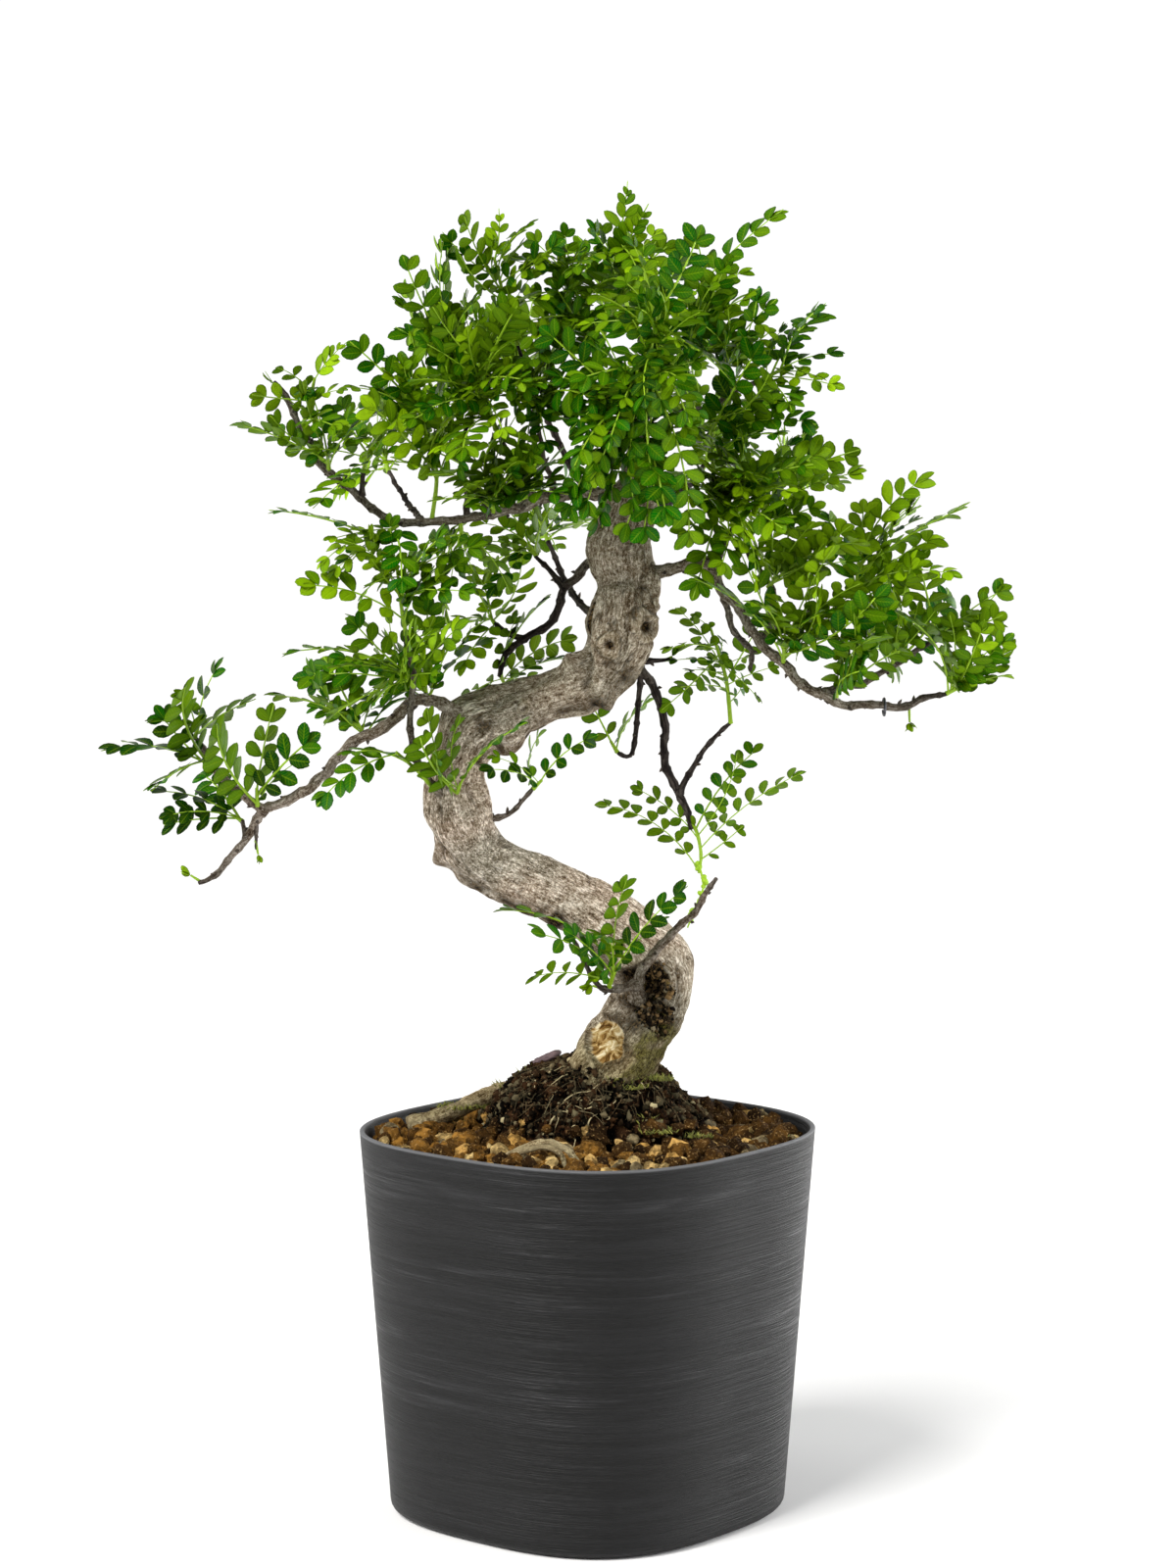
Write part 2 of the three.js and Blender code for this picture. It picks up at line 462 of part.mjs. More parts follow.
// Thin-walled planter: up the outside over a rounded foot, over the lip and down inside.
function makePot() {
  const rings = [
    potRing(potHalf(0) - pot.footDrop, 0),
    potRing(potHalf(0) - pot.footDrop * pot.footRound, pot.footDrop * pot.footRound),
    potRing(potHalf(pot.footDrop), pot.footDrop),
    potRing(potHalf(pot.height), pot.height),
    potRing(potHalf(pot.height) - pot.lipWall, pot.height),
    potRing(potHalf(pot.height - pot.lipDepth) - pot.wall, pot.height - pot.lipDepth),
    potRing(potHalf(pot.floor) - pot.wall, pot.floor),
  ];
  let body = ringSolid(rings, new THREE.Vector3(0, 0, 0), new THREE.Vector3(0, 0, pot.floor));
  for (let i = 0; i < pot.drainHoles; i += 1) {
    const angle = (tau * (i + 0.5)) / pot.drainHoles - pot.turn;
    const hole = new THREE.CylinderGeometry(pot.drainRadius, pot.drainRadius, pot.floor * 3, pot.drainSides);
    hole.rotateX(Math.PI / 2);
    hole.translate(pot.drainReach * Math.cos(angle), pot.drainReach * Math.sin(angle), pot.floor / 2);
    body = body.subtract(solidFrom(hole));
  }
  return body;
}

// Circle of the mound at a height, grown by an allowance, with its lumps.
function moundRing(radius, z, count, relief = 0) {
  return Array.from({ length: count }, (_, i) => {
    const angle = (tau * i) / count;
    const lump = relief * (draw(i, Math.round(z), 5) - 0.5);
    const reach = radius + lump;
    return new THREE.Vector3(mound.x + reach * Math.cos(angle), mound.y + reach * Math.sin(angle), z + lump);
  });
}

// Root ball: a plain plug in the granules, and above them a lumpy dome.
function makeMound() {
  const rise = mound.top - mound.shoulder;
  const rings = [mound.foot, mound.shoulder].map((z) => moundRing(mound.radius, z, mound.sides));
  mound.dome.forEach((share) => {
    const radius = mound.radius * Math.sqrt(1 - share ** mound.fullness);
    rings.push(moundRing(radius, mound.shoulder + rise * share, mound.sides, mound.relief));
  });
  const foot = new THREE.Vector3(mound.x, mound.y, mound.foot);
  const top = new THREE.Vector3(mound.x, mound.y, mound.top);
  return ringSolid(rings, foot, top);
}

// Granules: the fill follows the pot's inner wall, and its top is a field of peaks a
// granule apart, from the wall to the plain hole that holds the root ball.
function makeSubstrate() {
  const inset = pot.wall + soil.clearance;
  const bottom = pot.floor + soil.clearance;
  const wallRing = (z) => potRing(potHalf(z) - inset, z);
  const outer = wallRing(soil.level);
  const holeRing = moundRing(mound.radius + soil.clearance, soil.level, pot.segments);
  const rings = [wallRing(bottom), outer];
  for (let k = 1; k < soil.rings; k += 1) {
    rings.push(outer.map((point, i) => {
      const shift = (draw(i, k, 1) - 0.5) * soil.scatter + k;
      const spot = point.clone().lerp(holeRing[i], shift / soil.rings);
      spot.z = soil.level + soil.relief * (draw(i, k, 2) * 2 - 1) + soil.lift;
      return spot;
    }));
  }
  rings.push(holeRing);
  const pit = mound.foot - soil.clearance;
  rings.push(moundRing(mound.radius + soil.clearance, pit, pot.segments));
  return ringSolid(rings, new THREE.Vector3(0, 0, bottom), new THREE.Vector3(mound.x, mound.y, pit));
}

// Swell of the trunk: flutes that wander round it, and the swollen places.
function trunkSwell(stop, k, i, bare) {
  const wander = Math.sin(i * flute.around + k * flute.along);
  const groove = stop.radius * (flute.wave * wander + flute.rough * (draw(k, i, 3) - 0.5));
  const lifts = swellings.map(({ at, reach, lift }) => {
    const distance = bare.distanceTo(new THREE.Vector3(...at));
    return lift * Math.exp(-((distance / reach) ** 2));
  });
  return lifts.reduce((sum, lift) => sum + lift, groove);
}

function woodTube(name, grow) {
  const rows = routes[name];
  if (name === 'trunk') {
    return tube(stepsAlong(rows, wood.trunkStep).stops, wood.trunkSides, grow, trunkSwell);
  }
  const sides = rows[0][3] < wood.twigRadius ? wood.twigSides : wood.armSides;
  return tube(stopsOf(rows), sides, grow);
}

function makeWood(grow = 0) {
  return Object.keys(routes).map((name) => woodTube(name, grow)).reduce((whole, piece) => whole.add(piece));
}

// Outline of a frond's blade, counter-clockwise from its root: distance along the rib, and
// offset from it. A leaflet leans forward to its tip, and between two leaflets is a notch
// down to the rib.
function bladeOutline(length) {
  const half = frond.widthBase + frond.widthGrowth * length;
  const span = ((frond.terminal - frond.petiole) * length) / frond.pairs;
  const edge = [];
  for (let k = 0; k < frond.pairs; k += 1) {
    const from = frond.petiole * length + k * span;
    edge.push([from, frond.ribHalf], [from + frond.lean * span, half]);
  }
  edge.push([frond.terminal * length, frond.ribHalf], [frond.endShoulder * length, frond.endWidth * half]);
  return [[-frond.rootDepth, 0], ...edge.map(([s, w]) => [s, -w]), [length, 0], ...edge.reverse()];
}

// Frame of a frond: the way of its rib, the way it faces, which is up and away from the
// crown's axis, and the way across. A turn swings, lifts, rolls and shortens it.
function frondFrame(shoot, number, root, tip, turn) {
  const along = tip.clone().sub(root);
  const length = along.length();
  along.normalize();
  const middle = root.clone().lerp(tip, 0.5);
  const depth = middle.y < crown.y ? -crown.depth : crown.depth;
  const away = new THREE.Vector3(middle.x - crown.x, middle.y - crown.y + depth, 0).normalize();
  const spread = (c) => draw(shoot, number, c) - 0.5;
  const facing = new THREE.Vector3(spread(11), spread(12), spread(13)).multiplyScalar(crown.scatter)
    .addScaledVector(up, crown.upward)
    .addScaledVector(away, crown.outward)
    .projectOnPlane(along)
    .normalize();
  const across = facing.clone().cross(along);
  const swing = (axis, angle) => [along, facing, across].forEach((v) => v.applyAxisAngle(axis, angle));
  swing(facing.clone(), turn.yaw);
  swing(across.clone(), -turn.lift);
  swing(along.clone(), turn.roll);
  return { along, facing, across, length: length * turn.size };
}

// One frond: the outline lifted into an arch, its leaflets folded a little up or down.
function makeFrond(shoot, number, root, tip, turn) {
  const { along, facing, across, length } = frondFrame(shoot, number, root, tip, turn);
  const arch = frond.arch * (0.5 + draw(shoot, number, 14));
  const fold = frond.fold * (draw(shoot, number, 15) - 0.5);
  const outline = bladeOutline(length);
  const place = ([s, w], lift) => {
    const share = s / length;
    const height = 4 * arch * length * share * (1 - share) + fold * Math.abs(w) + lift;
    return root.clone().addScaledVector(along, s).addScaledVector(across, w).addScaledVector(facing, height);
  };
  const top = outline.map((row) => place(row, frond.thickness / 2));
  const under = outline.map((row) => place(row, -frond.thickness / 2));
  const count = outline.length;
  const triangles = [];
  const flat = outline.map(([s, w]) => new THREE.Vector2(s, w));
  THREE.ShapeUtils.triangulateShape(flat, []).forEach(([a, b, c]) => {
    triangles.push([a, b, c], [a + count, c + count, b + count]);
  });
  for (let i = 0; i < count; i += 1) {
    const j = (i + 1) % count;
    triangles.push([i + count, j + count, j], [i + count, j, i]);
  }
  return solidOf([...top, ...under], triangles);
}

// Largest of the loose bodies in a solid: the scraps of a cut are dropped.
function mainBody(solid) {
  const bodies = solid.decompose();
  return bodies.reduce((largest, body) => (body.volume() > largest.volume() ? body : largest));
}

// Whether a solid keeps its distance from every one of the others.
function isClear(solid, others, distance) {
  const box = solid.boundingBox();
  return others.every((other) => {
    const apart = [0, 1, 2].some((k) => box.min[k] > other.box.max[k] + distance
      || other.box.min[k] > box.max[k] + distance);
    return apart || solid.minGap(other.solid, distance * 2) >= distance;
  });
}

// Bends that a frond may take to grow clear of its neighbours, the slightest first.
function bends() {
  const list = [{ yaw: 0, lift: 0, roll: 0, size: 1 }];
  for (let ring = 1; ring <= bend.rings; ring += 1) {
    for (let k = 0; k < bend.directions; k += 1) {
      const way = (tau * k) / bend.directions;
      list.push({
        yaw: ring * bend.step * Math.cos(way),
        lift: ring * bend.step * Math.sin(way),
        roll: ring * bend.roll * (k % 2 ? 1 : -1),
        size: 1 - bend.shrink * ring,
      });
    }
  }
  return list;
}

// Points on a green stem where its fronds leave, from its end downwards.
function frondRoots(rows, count) {
  const { stops, length } = stepsAlong(rows.map((row) => [...row, stem.radius]), 1);
  const gap = Math.min(stem.spacing, (length * stem.spread) / Math.max(count - 1, 1));
  return Array.from({ length: count }, (_, i) => {
    const share = Math.max(0, 1 - (stem.tipGap + gap * i) / length);
    return stops[Math.round(share * (stops.length - 1))].point;
  });
}

// All leafy shoots: every stem first, then the fronds in turns, so that each shoot gets
// the ones that reach furthest before any gets its inner ones.
function makeSprays(woodSolid, grownWood) {
  const trunkAndArms = { solid: woodSolid, box: woodSolid.boundingBox() };
  const sprays = Object.entries(shoots).map(([name, { stem: rows, tips }], number) => {
    const reached = tips.slice(0, frond.most);
    const taper = (k) => stem.radius + ((stem.tipRadius - stem.radius) * k) / (rows.length - 1);
    const stops = stopsOf(rows.map((row, k) => [...row, taper(k)]));
    const body = mainBody(tube(stops, stem.sides).subtract(grownWood));
    return {
      name,
      number,
      roots: frondRoots(rows, tips.length),
      tips: reached.map((tip) => new THREE.Vector3(...tip)),
      pieces: [{ solid: body, box: body.boundingBox() }],
    };
  });
  const turns = bends();
  for (let i = 0; i < frond.most; i += 1) {
    sprays.filter((spray) => i < spray.tips.length).forEach((spray) => {
      const others = [trunkAndArms, ...sprays.filter((one) => one !== spray).flatMap((one) => one.pieces)];
      const own = spray.pieces.map((piece) => piece.solid).reduce((whole, piece) => whole.add(piece));
      const choices = [];
      for (const turn of turns) {
        const solid = makeFrond(spray.number, i, spray.roots[i], spray.tips[i], turn);
        if (isClear(solid, others, frond.distance)) {
          choices.push({ solid, box: solid.boundingBox(), crossed: solid.intersect(own).volume() });
          if (choices[choices.length - 1].crossed < frond.crossing) {
            break;
          }
        }
      }
      if (choices.length > 0) {
        spray.pieces.push(choices.reduce((best, one) => (one.crossed < best.crossed ? one : best)));
      }
    });
  }
  return sprays.map(({ name, pieces }) => ({
    name: `spray_${name}`,
    solid: mainBody(pieces.map((piece) => piece.solid).reduce((whole, piece) => whole.add(piece))),
    fronds: pieces.length - 1,
  }));
}

// Flake of bark that lies on the root ball, tipped with the slope.
function makeChip(grow = 0) {
  const ring = (z, size) => Array.from({ length: chip.sides }, (_, i) => {
    const angle = (tau * i) / chip.sides;
    const reach = 1 + chip.ragged * (draw(i, 7, 7) - 0.5);
    return new THREE.Vector3(
      (chip.length * size * reach * Math.cos(angle)) / 2 + grow * Math.cos(angle),
      (chip.width * size * reach * Math.sin(angle)) / 2 + grow * Math.sin(angle),
      z,
    );
  });
  const half = chip.thickness / 2 + grow;
  const rings = [ring(-half, chip.underside), ring(0, 1), ring(half, chip.topside)];
  const placed = [new THREE.Vector3(0, 0, -half), new THREE.Vector3(0, 0, half), ...rings.flat()];
  placed.forEach((point) => {
    point.applyAxisAngle(new THREE.Vector3(0, 1, 0), chip.tip).add(new THREE.Vector3(...chip.at));
  });
  return ringSolid(rings, placed[0], placed[1]);
}

// Open loop of training wire that is left round the right arm.
function makeWire() {
  const loop = wire.armRadius + seat + wire.radius;
  const rows = Array.from({ length: wire.points }, (_, i) => {
    const angle = wire.opening / 2 + ((tau - wire.opening) * i) / (wire.points - 1);
    const [x, y, z] = wire.at;
    return [x, y + loop * Math.cos(angle), z + loop * Math.sin(angle), wire.radius];
  });
  return tube(stopsOf(rows), wire.sides);
}

function meshOf(name, solid, look) {
  const { numProp, vertProperties, triVerts } = solid.getMesh();
  const geometry = new THREE.BufferGeometry();
  const positions = Float32Array.from({ length: (vertProperties.length / numProp) * 3 }, (_, i) => (
    vertProperties[Math.floor(i / 3) * numProp + (i % 3)]));
  geometry.setAttribute('position', new THREE.BufferAttribute(positions, 3));
  geometry.setIndex(Array.from(triVerts));
  geometry.computeVertexNormals();
  const mesh = new THREE.Mesh(geometry, new THREE.MeshStandardMaterial({ name: look, ...finish[look] }));
  mesh.name = name;
  return mesh;
}

const tree = new THREE.Group();
tree.name = 'japanese_pepper_tree_bonsai';

const woodSolid = makeWood();
const grownWood = makeWood(seat);
const chipSolid = makeChip();
tree.add(meshOf('pot', makePot(), 'pot'));
tree.add(meshOf('substrate', mainBody(makeSubstrate().subtract(grownWood)), 'granules'));
tree.add(meshOf('root_mound', mainBody(makeMound().subtract(grownWood).subtract(makeChip(seat))), 'peat'));
tree.add(meshOf('tree_wood', woodSolid, 'bark'));
tree.add(meshOf('bark_chip', chipSolid, 'chip'));
tree.add(meshOf('wire_clip', makeWire(), 'wire'));
makeSprays(woodSolid, grownWood).forEach(({ name, solid }) => tree.add(meshOf(name, solid, 'leaf')));

export default tree;
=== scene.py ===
# Pepper tree trained as a bonsai in a square planter: its looks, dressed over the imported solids.
# Places and sizes are millimetres with +Z up, and a mesh is made in metres.
import math

import bpy
import numpy as np
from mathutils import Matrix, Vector


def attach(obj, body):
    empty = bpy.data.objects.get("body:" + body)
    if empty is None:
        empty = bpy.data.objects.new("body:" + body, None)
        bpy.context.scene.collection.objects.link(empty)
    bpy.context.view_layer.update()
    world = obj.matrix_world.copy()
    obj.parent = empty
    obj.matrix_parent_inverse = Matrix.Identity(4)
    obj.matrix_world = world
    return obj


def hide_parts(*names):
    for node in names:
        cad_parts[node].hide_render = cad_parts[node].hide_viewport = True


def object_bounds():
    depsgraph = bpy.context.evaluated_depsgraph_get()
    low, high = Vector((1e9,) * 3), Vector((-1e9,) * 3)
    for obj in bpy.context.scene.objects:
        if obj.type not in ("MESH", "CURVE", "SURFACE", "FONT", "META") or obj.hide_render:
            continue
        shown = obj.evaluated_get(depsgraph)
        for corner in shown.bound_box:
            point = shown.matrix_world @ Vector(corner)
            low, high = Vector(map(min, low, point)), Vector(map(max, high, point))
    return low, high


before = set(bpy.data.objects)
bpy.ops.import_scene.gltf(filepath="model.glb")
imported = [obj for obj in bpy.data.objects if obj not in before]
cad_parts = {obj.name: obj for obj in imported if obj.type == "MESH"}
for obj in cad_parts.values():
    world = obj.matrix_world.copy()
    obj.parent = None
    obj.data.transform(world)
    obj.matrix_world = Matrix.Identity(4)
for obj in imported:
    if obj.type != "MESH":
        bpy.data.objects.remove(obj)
cadLow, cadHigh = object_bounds()
tau = 2 * math.pi
print("stage: packed solids loaded")


# draw(a, b, c) = frac(43758.5453 sin(12.9898 a + 78.233 b + 37.719 c)): a settled number from 0 to 1
def draw(a, b, c):
    wave = np.sin(a * 12.9898 + b * 78.233 + c * 37.719) * 43758.5453
    return wave - np.floor(wave)


# vectors of three draws, each from -0.5 to 0.5
def scatter(a, b, c):
    return draw(np.asarray(a)[..., None], np.asarray(b)[..., None], c + np.arange(3)) - 0.5


# v / |v| along the last axis
def unit(v):
    return v / np.maximum(np.linalg.norm(v, axis=-1, keepdims=True), 1e-9)


# 3t^2 - 2t^3 with t = (x - low) / (high - low) held between 0 and 1
def ease(x, low, high):
    t = np.clip((x - low) / (high - low), 0, 1)
    return t * t * (3 - 2 * t)


# exp(-(d / width)^2)
def bell(d, width=1):
    return np.exp(-((d / width) ** 2))


# settled numbers at the corners of cells of one size, blended by 3f^2 - 2f^3: from -1 to 1
def grain(points, size, seed=0):
    place = np.asarray(points) / size
    cell = np.floor(place)
    f = place - cell
    f = f * f * (3 - 2 * f)
    total = np.zeros(place.shape[:-1])
    for corner in range(8):
        bits = np.array([corner & 1, corner >> 1 & 1, corner >> 2 & 1])
        c = cell + bits
        total += np.where(bits, f, 1 - f).prod(-1) * draw(c[..., 0] + 0.37 * seed, c[..., 1], c[..., 2])
    return 2 * total - 1


# sum of grain(size / 2^k) / 2^k over a few octaves
def rough(points, size, octaves=3, seed=0):
    return sum(grain(points, size / 2**k, seed + 7 * k) / 2**k for k in range(octaves))


# smooth way through the rows at t: (2b + (c-a)f + (2a-5b+4c-d)f^2 + (3b-a-3c+d)f^3) / 2, between b and c
def wayAt(rows, t):
    rows = np.asarray(rows, float)
    held = np.vstack([rows[:1], rows, rows[-1:]])
    i = np.clip(np.floor(t).astype(int), 0, len(rows) - 2)
    f = (t - i)[:, None]
    a, b, c, d = (held[i + k] for k in range(4))
    return (2 * b + (c - a) * f + (2 * a - 5 * b + 4 * c - d) * f**2 + (3 * b - a - 3 * c + d) * f**3) / 2


# the way cut into even steps: its stops, and how far along it each one lies
def evenStops(rows, step):
    t = np.linspace(0, len(rows) - 1, (len(rows) - 1) * 12 + 1)
    fine = wayAt(rows, t)[:, :3]
    reach = np.concatenate([[0], np.cumsum(np.linalg.norm(np.diff(fine, axis=0), axis=1))])
    count = max(3, int(round(reach[-1] / step)) + 1)
    far = np.linspace(0, reach[-1], count)
    return wayAt(rows, np.interp(far, reach, t)), far


# heading, side and over at each point: side is the world axis least leaned on, made square to the way
def wayFrames(points):
    heading = unit(np.gradient(points, axis=0))
    axis = np.eye(3)[np.abs(heading).max(0).argmin()]
    side = unit(axis - heading * (heading @ axis)[:, None])
    return heading, side, np.cross(heading, side)


# even turns of a circle: tau k / count
def turnsOf(count):
    return tau * np.arange(count) / count


# side cos a + over sin a, at even turns
def circle(side, over, count):
    a = turnsOf(count)[:, None]
    return side[..., None, :] * np.cos(a) + over[..., None, :] * np.sin(a)


# closed nets in one go, from rings (copies, rows, columns, 3) with a pole before the first and after the
# last: a quad between each four neighbours, and a fan of triangles round each pole
def closedNets(rings, poles):
    copies, rows, columns = rings.shape[:3]
    size = rows * columns + 2
    points = np.concatenate([rings.reshape(copies, -1, 3), poles], axis=1).reshape(-1, 3)
    k, i = np.mgrid[0 : rows - 1, 0:columns]
    a, b = k * columns + i, k * columns + (i + 1) % columns
    quads = np.stack([a, b, b + columns, a + columns], -1).reshape(-1, 4)
    i = np.arange(columns)
    j, last = (i + 1) % columns, (rows - 1) * columns
    fans = np.stack([np.r_[j, last + i], np.r_[i, last + j], np.repeat([size - 2, size - 1], columns)], -1)
    shift = (np.arange(copies) * size)[:, None, None]
    return points, [(quads + shift).reshape(-1, 4), (fans + shift).reshape(-1, 3)]


# tube: centre + (side cos a + over sin a) radius, with the two ends as poles
def tubeNet(stops, columns, radius=None):
    centre = stops[:, :3]
    heading, side, over = wayFrames(centre)
    out = circle(side, over, columns)
    thick = stops[:, 3:4] if radius is None else radius
    rings = centre[:, None] + out * np.broadcast_to(thick, out.shape[:2])[..., None]
    ends = stops[[0, -1], 3:4] * 0.35 * np.array([[-1], [1]])
    poles = centre[[0, -1]] + heading[[0, -1]] * ends
    return closedNets(rings[None], poles[None])


# marks of one closed net: a grid row by row, then its poles, which take their neighbours' marks if not given
def withPoles(grid, first=None, last=None):
    return np.r_[grid.ravel(), grid[0, 0] if first is None else first, grid[-1, 0] if last is None else last]


# object with its data, in the scene's own collection
def addObject(name, data):
    made = bpy.data.objects.new(name, data)
    bpy.context.scene.collection.objects.link(made)
    return made


# one piece of the scene: gathers nets, each with its finish and its marks, and makes the mesh in one go
class Shell:
    def __init__(self, *markNames):
        self.points, self.faces, self.finishes, self.total = [], [], [], 0
        self.marks = {name: [] for name in markNames}

    # a mark has one value for the whole net, one for each copy in it or one for each point
    def put(self, net, finish=0, **marks):
        points, faces = net
        self.points.append(points)
        self.faces += [one + self.total for one in faces]
        self.finishes += [np.full(len(one), finish) for one in faces]
        for name, values in self.marks.items():
            own = np.ravel(marks.get(name, 0.0))
            values.append(np.repeat(own, len(points) // len(own)))
        self.total += len(points)
        return self

    # the piece in metres, with its finishes and the nodes of the solids that it replaces; the slot is not
    # used
    def build(self, name, finishes, slot, nodes=(), crease=None):
        mesh = bpy.data.meshes.new(name)
        points = np.concatenate(self.points) * 0.001
        sizes = np.concatenate([np.full(len(one), one.shape[1]) for one in self.faces])
        mesh.vertices.add(len(points))
        mesh.vertices.foreach_set("co", points.astype(np.float32).ravel())
        mesh.loops.add(int(sizes.sum()))
        corners = np.concatenate([one.ravel() for one in self.faces])
        mesh.loops.foreach_set("vertex_index", corners.astype(np.int32))
        mesh.polygons.add(len(sizes))
        mesh.polygons.foreach_set("loop_start", (np.cumsum(sizes) - sizes).astype(np.int32))
        mesh.polygons.foreach_set("material_index", np.concatenate(self.finishes).astype(np.int32))
        mesh.polygons.foreach_set("use_smooth", np.ones(len(sizes), bool))
        for mark, values in self.marks.items():
            layer = mesh.attributes.new(mark, "FLOAT", "POINT")
            layer.data.foreach_set("value", np.concatenate(values).astype(np.float32))
        mesh.update(calc_edges=True)
        mesh.validate()
        if crease:
            mesh.set_sharp_from_angle(angle=math.radians(crease))
        piece = addObject(name, mesh)
        for finish in finishes:
            mesh.materials.append(finish)
        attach(piece, "root")
        if nodes:
            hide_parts(*nodes)
        return piece


# a socket in arithmetic: each operator adds one Math node
class Value:
    def __init__(self, finish, socket):
        self.finish, self.socket = finish, socket

    def meet(self, operation, *terms):
        return self.finish.node("Math", {"operation": operation}, dict(enumerate(terms)))

    def __add__(self, other):
        return self.meet("ADD", self, other)

    def __sub__(self, other):
        return self.meet("SUBTRACT", self, other)

    def __rsub__(self, other):
        return self.meet("SUBTRACT", other, self)

    def __mul__(self, other):
        return self.meet("MULTIPLY", self, other)

    __radd__, __rmul__ = __add__, __mul__

    def size(self):
        return self.meet("ABSOLUTE", self)

    def sine(self):
        return self.meet("SINE", self)

    # 1 over the limit and 0 below it
    def above(self, limit):
        return self.meet("GREATER_THAN", self, limit)

    # 3t^2 - 2t^3 between two levels
    def between(self, low, high):
        settings = {"interpolation_type": "SMOOTHSTEP"}
        return self.finish.node("MapRange", settings, {"Value": self, "From Min": low, "From Max": high})


# sRGB 0-255 to a linear colour
def paint(r, g, b):
    c = np.array([r, g, b]) / 255
    return (*np.where(c <= 0.04045, c / 12.92, ((c + 0.055) / 1.055) ** 2.4).tolist(), 1.0)


# linear grey of one level
def grey(level):
    return (level, level, level, 1.0)


# one material and the nodes in it: three numbers are an sRGB colour, and four are a linear one
class Finish:
    def __init__(self, name, holder=None):
        self.material = holder or bpy.data.materials.new(name)
        self.material.use_nodes = True
        self.tree = self.material.node_tree
        self.tree.nodes.clear()
        self.place = self.node("TexCoord", out="Object")

    # one node with its settings; a socket takes a number, a colour or the outcome of another node
    def node(self, kind, settings=(), sockets=(), out=0):
        made = self.tree.nodes.new("ShaderNode" + kind)
        for name, value in dict(settings).items():
            if name == "stops":
                ramp = made.color_ramp.elements
                ramp.remove(ramp[1])
                ramp[0].position, ramp[0].color = value[0]
                for where, colour in value[1:]:
                    ramp.new(where).color = colour
            else:
                setattr(made, name, value)
        for name, value in dict(sockets).items():
            if isinstance(value, Value):
                self.tree.links.new(value.socket, made.inputs[name])
            else:
                made.inputs[name].default_value = value
        return made if out is None else Value(self, made.outputs[out])

    # a mark that the points carry
    def mark(self, name):
        return self.node("Attribute", {"attribute_name": name}, out="Fac")

    # height over the ground in metres
    def height(self):
        return self.node("SeparateXYZ", {}, {0: self.place}, out="Z")

    # noise with so many lumps to a metre, the same along each axis or different
    def noise(self, lumpsPerMetre, detail=3.0, roughness=0.55, twist=0.0, at=None):
        scale = lumpsPerMetre if isinstance(lumpsPerMetre, tuple) else (lumpsPerMetre,) * 3
        stretched = self.node("Mapping", {}, {"Vector": at or self.place, "Scale": scale})
        sockets = {"Vector": stretched, "Scale": 1.0, "Detail": detail, "Roughness": roughness}
        return self.node("TexNoise", {}, {**sockets, "Distortion": twist})

    # a (1 - share) + b share, or a (1 - share + b share) where it multiplies
    def mix(self, share, a, b, how="MIX"):
        a, b = (paint(*c) if isinstance(c, tuple) and len(c) == 3 else c for c in (a, b))
        return self.node("Mix", {"data_type": "RGBA", "blend_type": how}, {0: share, 6: a, 7: b}, out=2)

    # each stop is a place from 0 to 1 and its sRGB colour
    def ramp(self, value, *stops):
        return self.node("ValToRGB", {"stops": [(where, paint(*c)) for where, *c in stops]}, {"Fac": value})

    # plain shader, with a bump of so many metres where a height is given
    def surface(self, colour, roughness, height=None, depth=0.001, strength=1.0, gloss=0.5, metal=0.0):
        sockets = {
            "Base Color": colour, "Roughness": roughness, "Specular IOR Level": gloss, "Metallic": metal,
        }
        if height is not None:
            bump = {"Height": height, "Distance": depth, "Strength": strength}
            sockets["Normal"] = self.node("Bump", {}, bump)
        shader = self.node("BsdfPrincipled", {}, sockets)
        self.node("OutputMaterial", {"target": "ALL"}, {"Surface": shader}, out=None)
        return self.material


# marks that the points of wood and of leaves carry
barkMarks = ("twig", "stain", "wound", "moss", "face", "flowX", "flowY", "flowZ")
leafMarks = ("tone", "along", "across", "under", "sere")


# brushed planter: near black with fine level hairs, pale where a patch lets them through, and a painted
# highlight along its lip
def potFinish():
    f = Finish("brushedAnthracite")
    streak = f.noise((8, 8, 260), 5, 0.66, 0.5)
    hair = f.noise((26, 26, 1500), 3, 0.6)
    patch = f.noise((6, 6, 30), 4, 0.65, 0.6)
    dark = f.mix(streak.between(0.38, 0.62), (2, 2, 2), (14, 14, 15))
    pale = (hair * 0.45 + streak * 0.55).between(0.5, 0.62) * patch.between(0.46, 0.62)
    # painted highlight: a pale band round the top of the lip
    lip = f.height().between(0.1685, 0.1696)
    colour = f.mix(lip * 0.6, f.mix(pale * 0.2, dark, (72, 72, 75)), (120, 121, 124))
    return f.surface(colour, 0.52 - pale * 0.24, streak * 0.7 + hair * 0.4, 0.0018, gloss=0.27)


# fired grains: tones from dark brown over ochre and cream to grey, with dark blotches and pale specks
def grainFinish():
    f = Finish("firedGrains")
    speck, blotch = f.noise(900, 4, 0.65), f.noise(260, 3, 0.6)
    body = f.ramp(
        f.mark("tone"),
        (0.0, 30, 18, 8), (0.22, 104, 72, 30), (0.45, 160, 114, 48), (0.62, 192, 142, 64),
        (0.74, 222, 170, 88), (0.84, 230, 198, 132), (0.93, 152, 136, 100), (1.0, 98, 92, 76),
    )
    shaded = f.mix(blotch.between(0.36, 0.6) * 0.72, body, (36, 23, 9))
    colour = f.mix(speck.between(0.56, 0.7) * 0.45, shaded, (232, 190, 124))
    return f.surface(colour, 0.9 - speck * 0.1, speck * 0.6 + blotch, 0.0022, gloss=0.06)
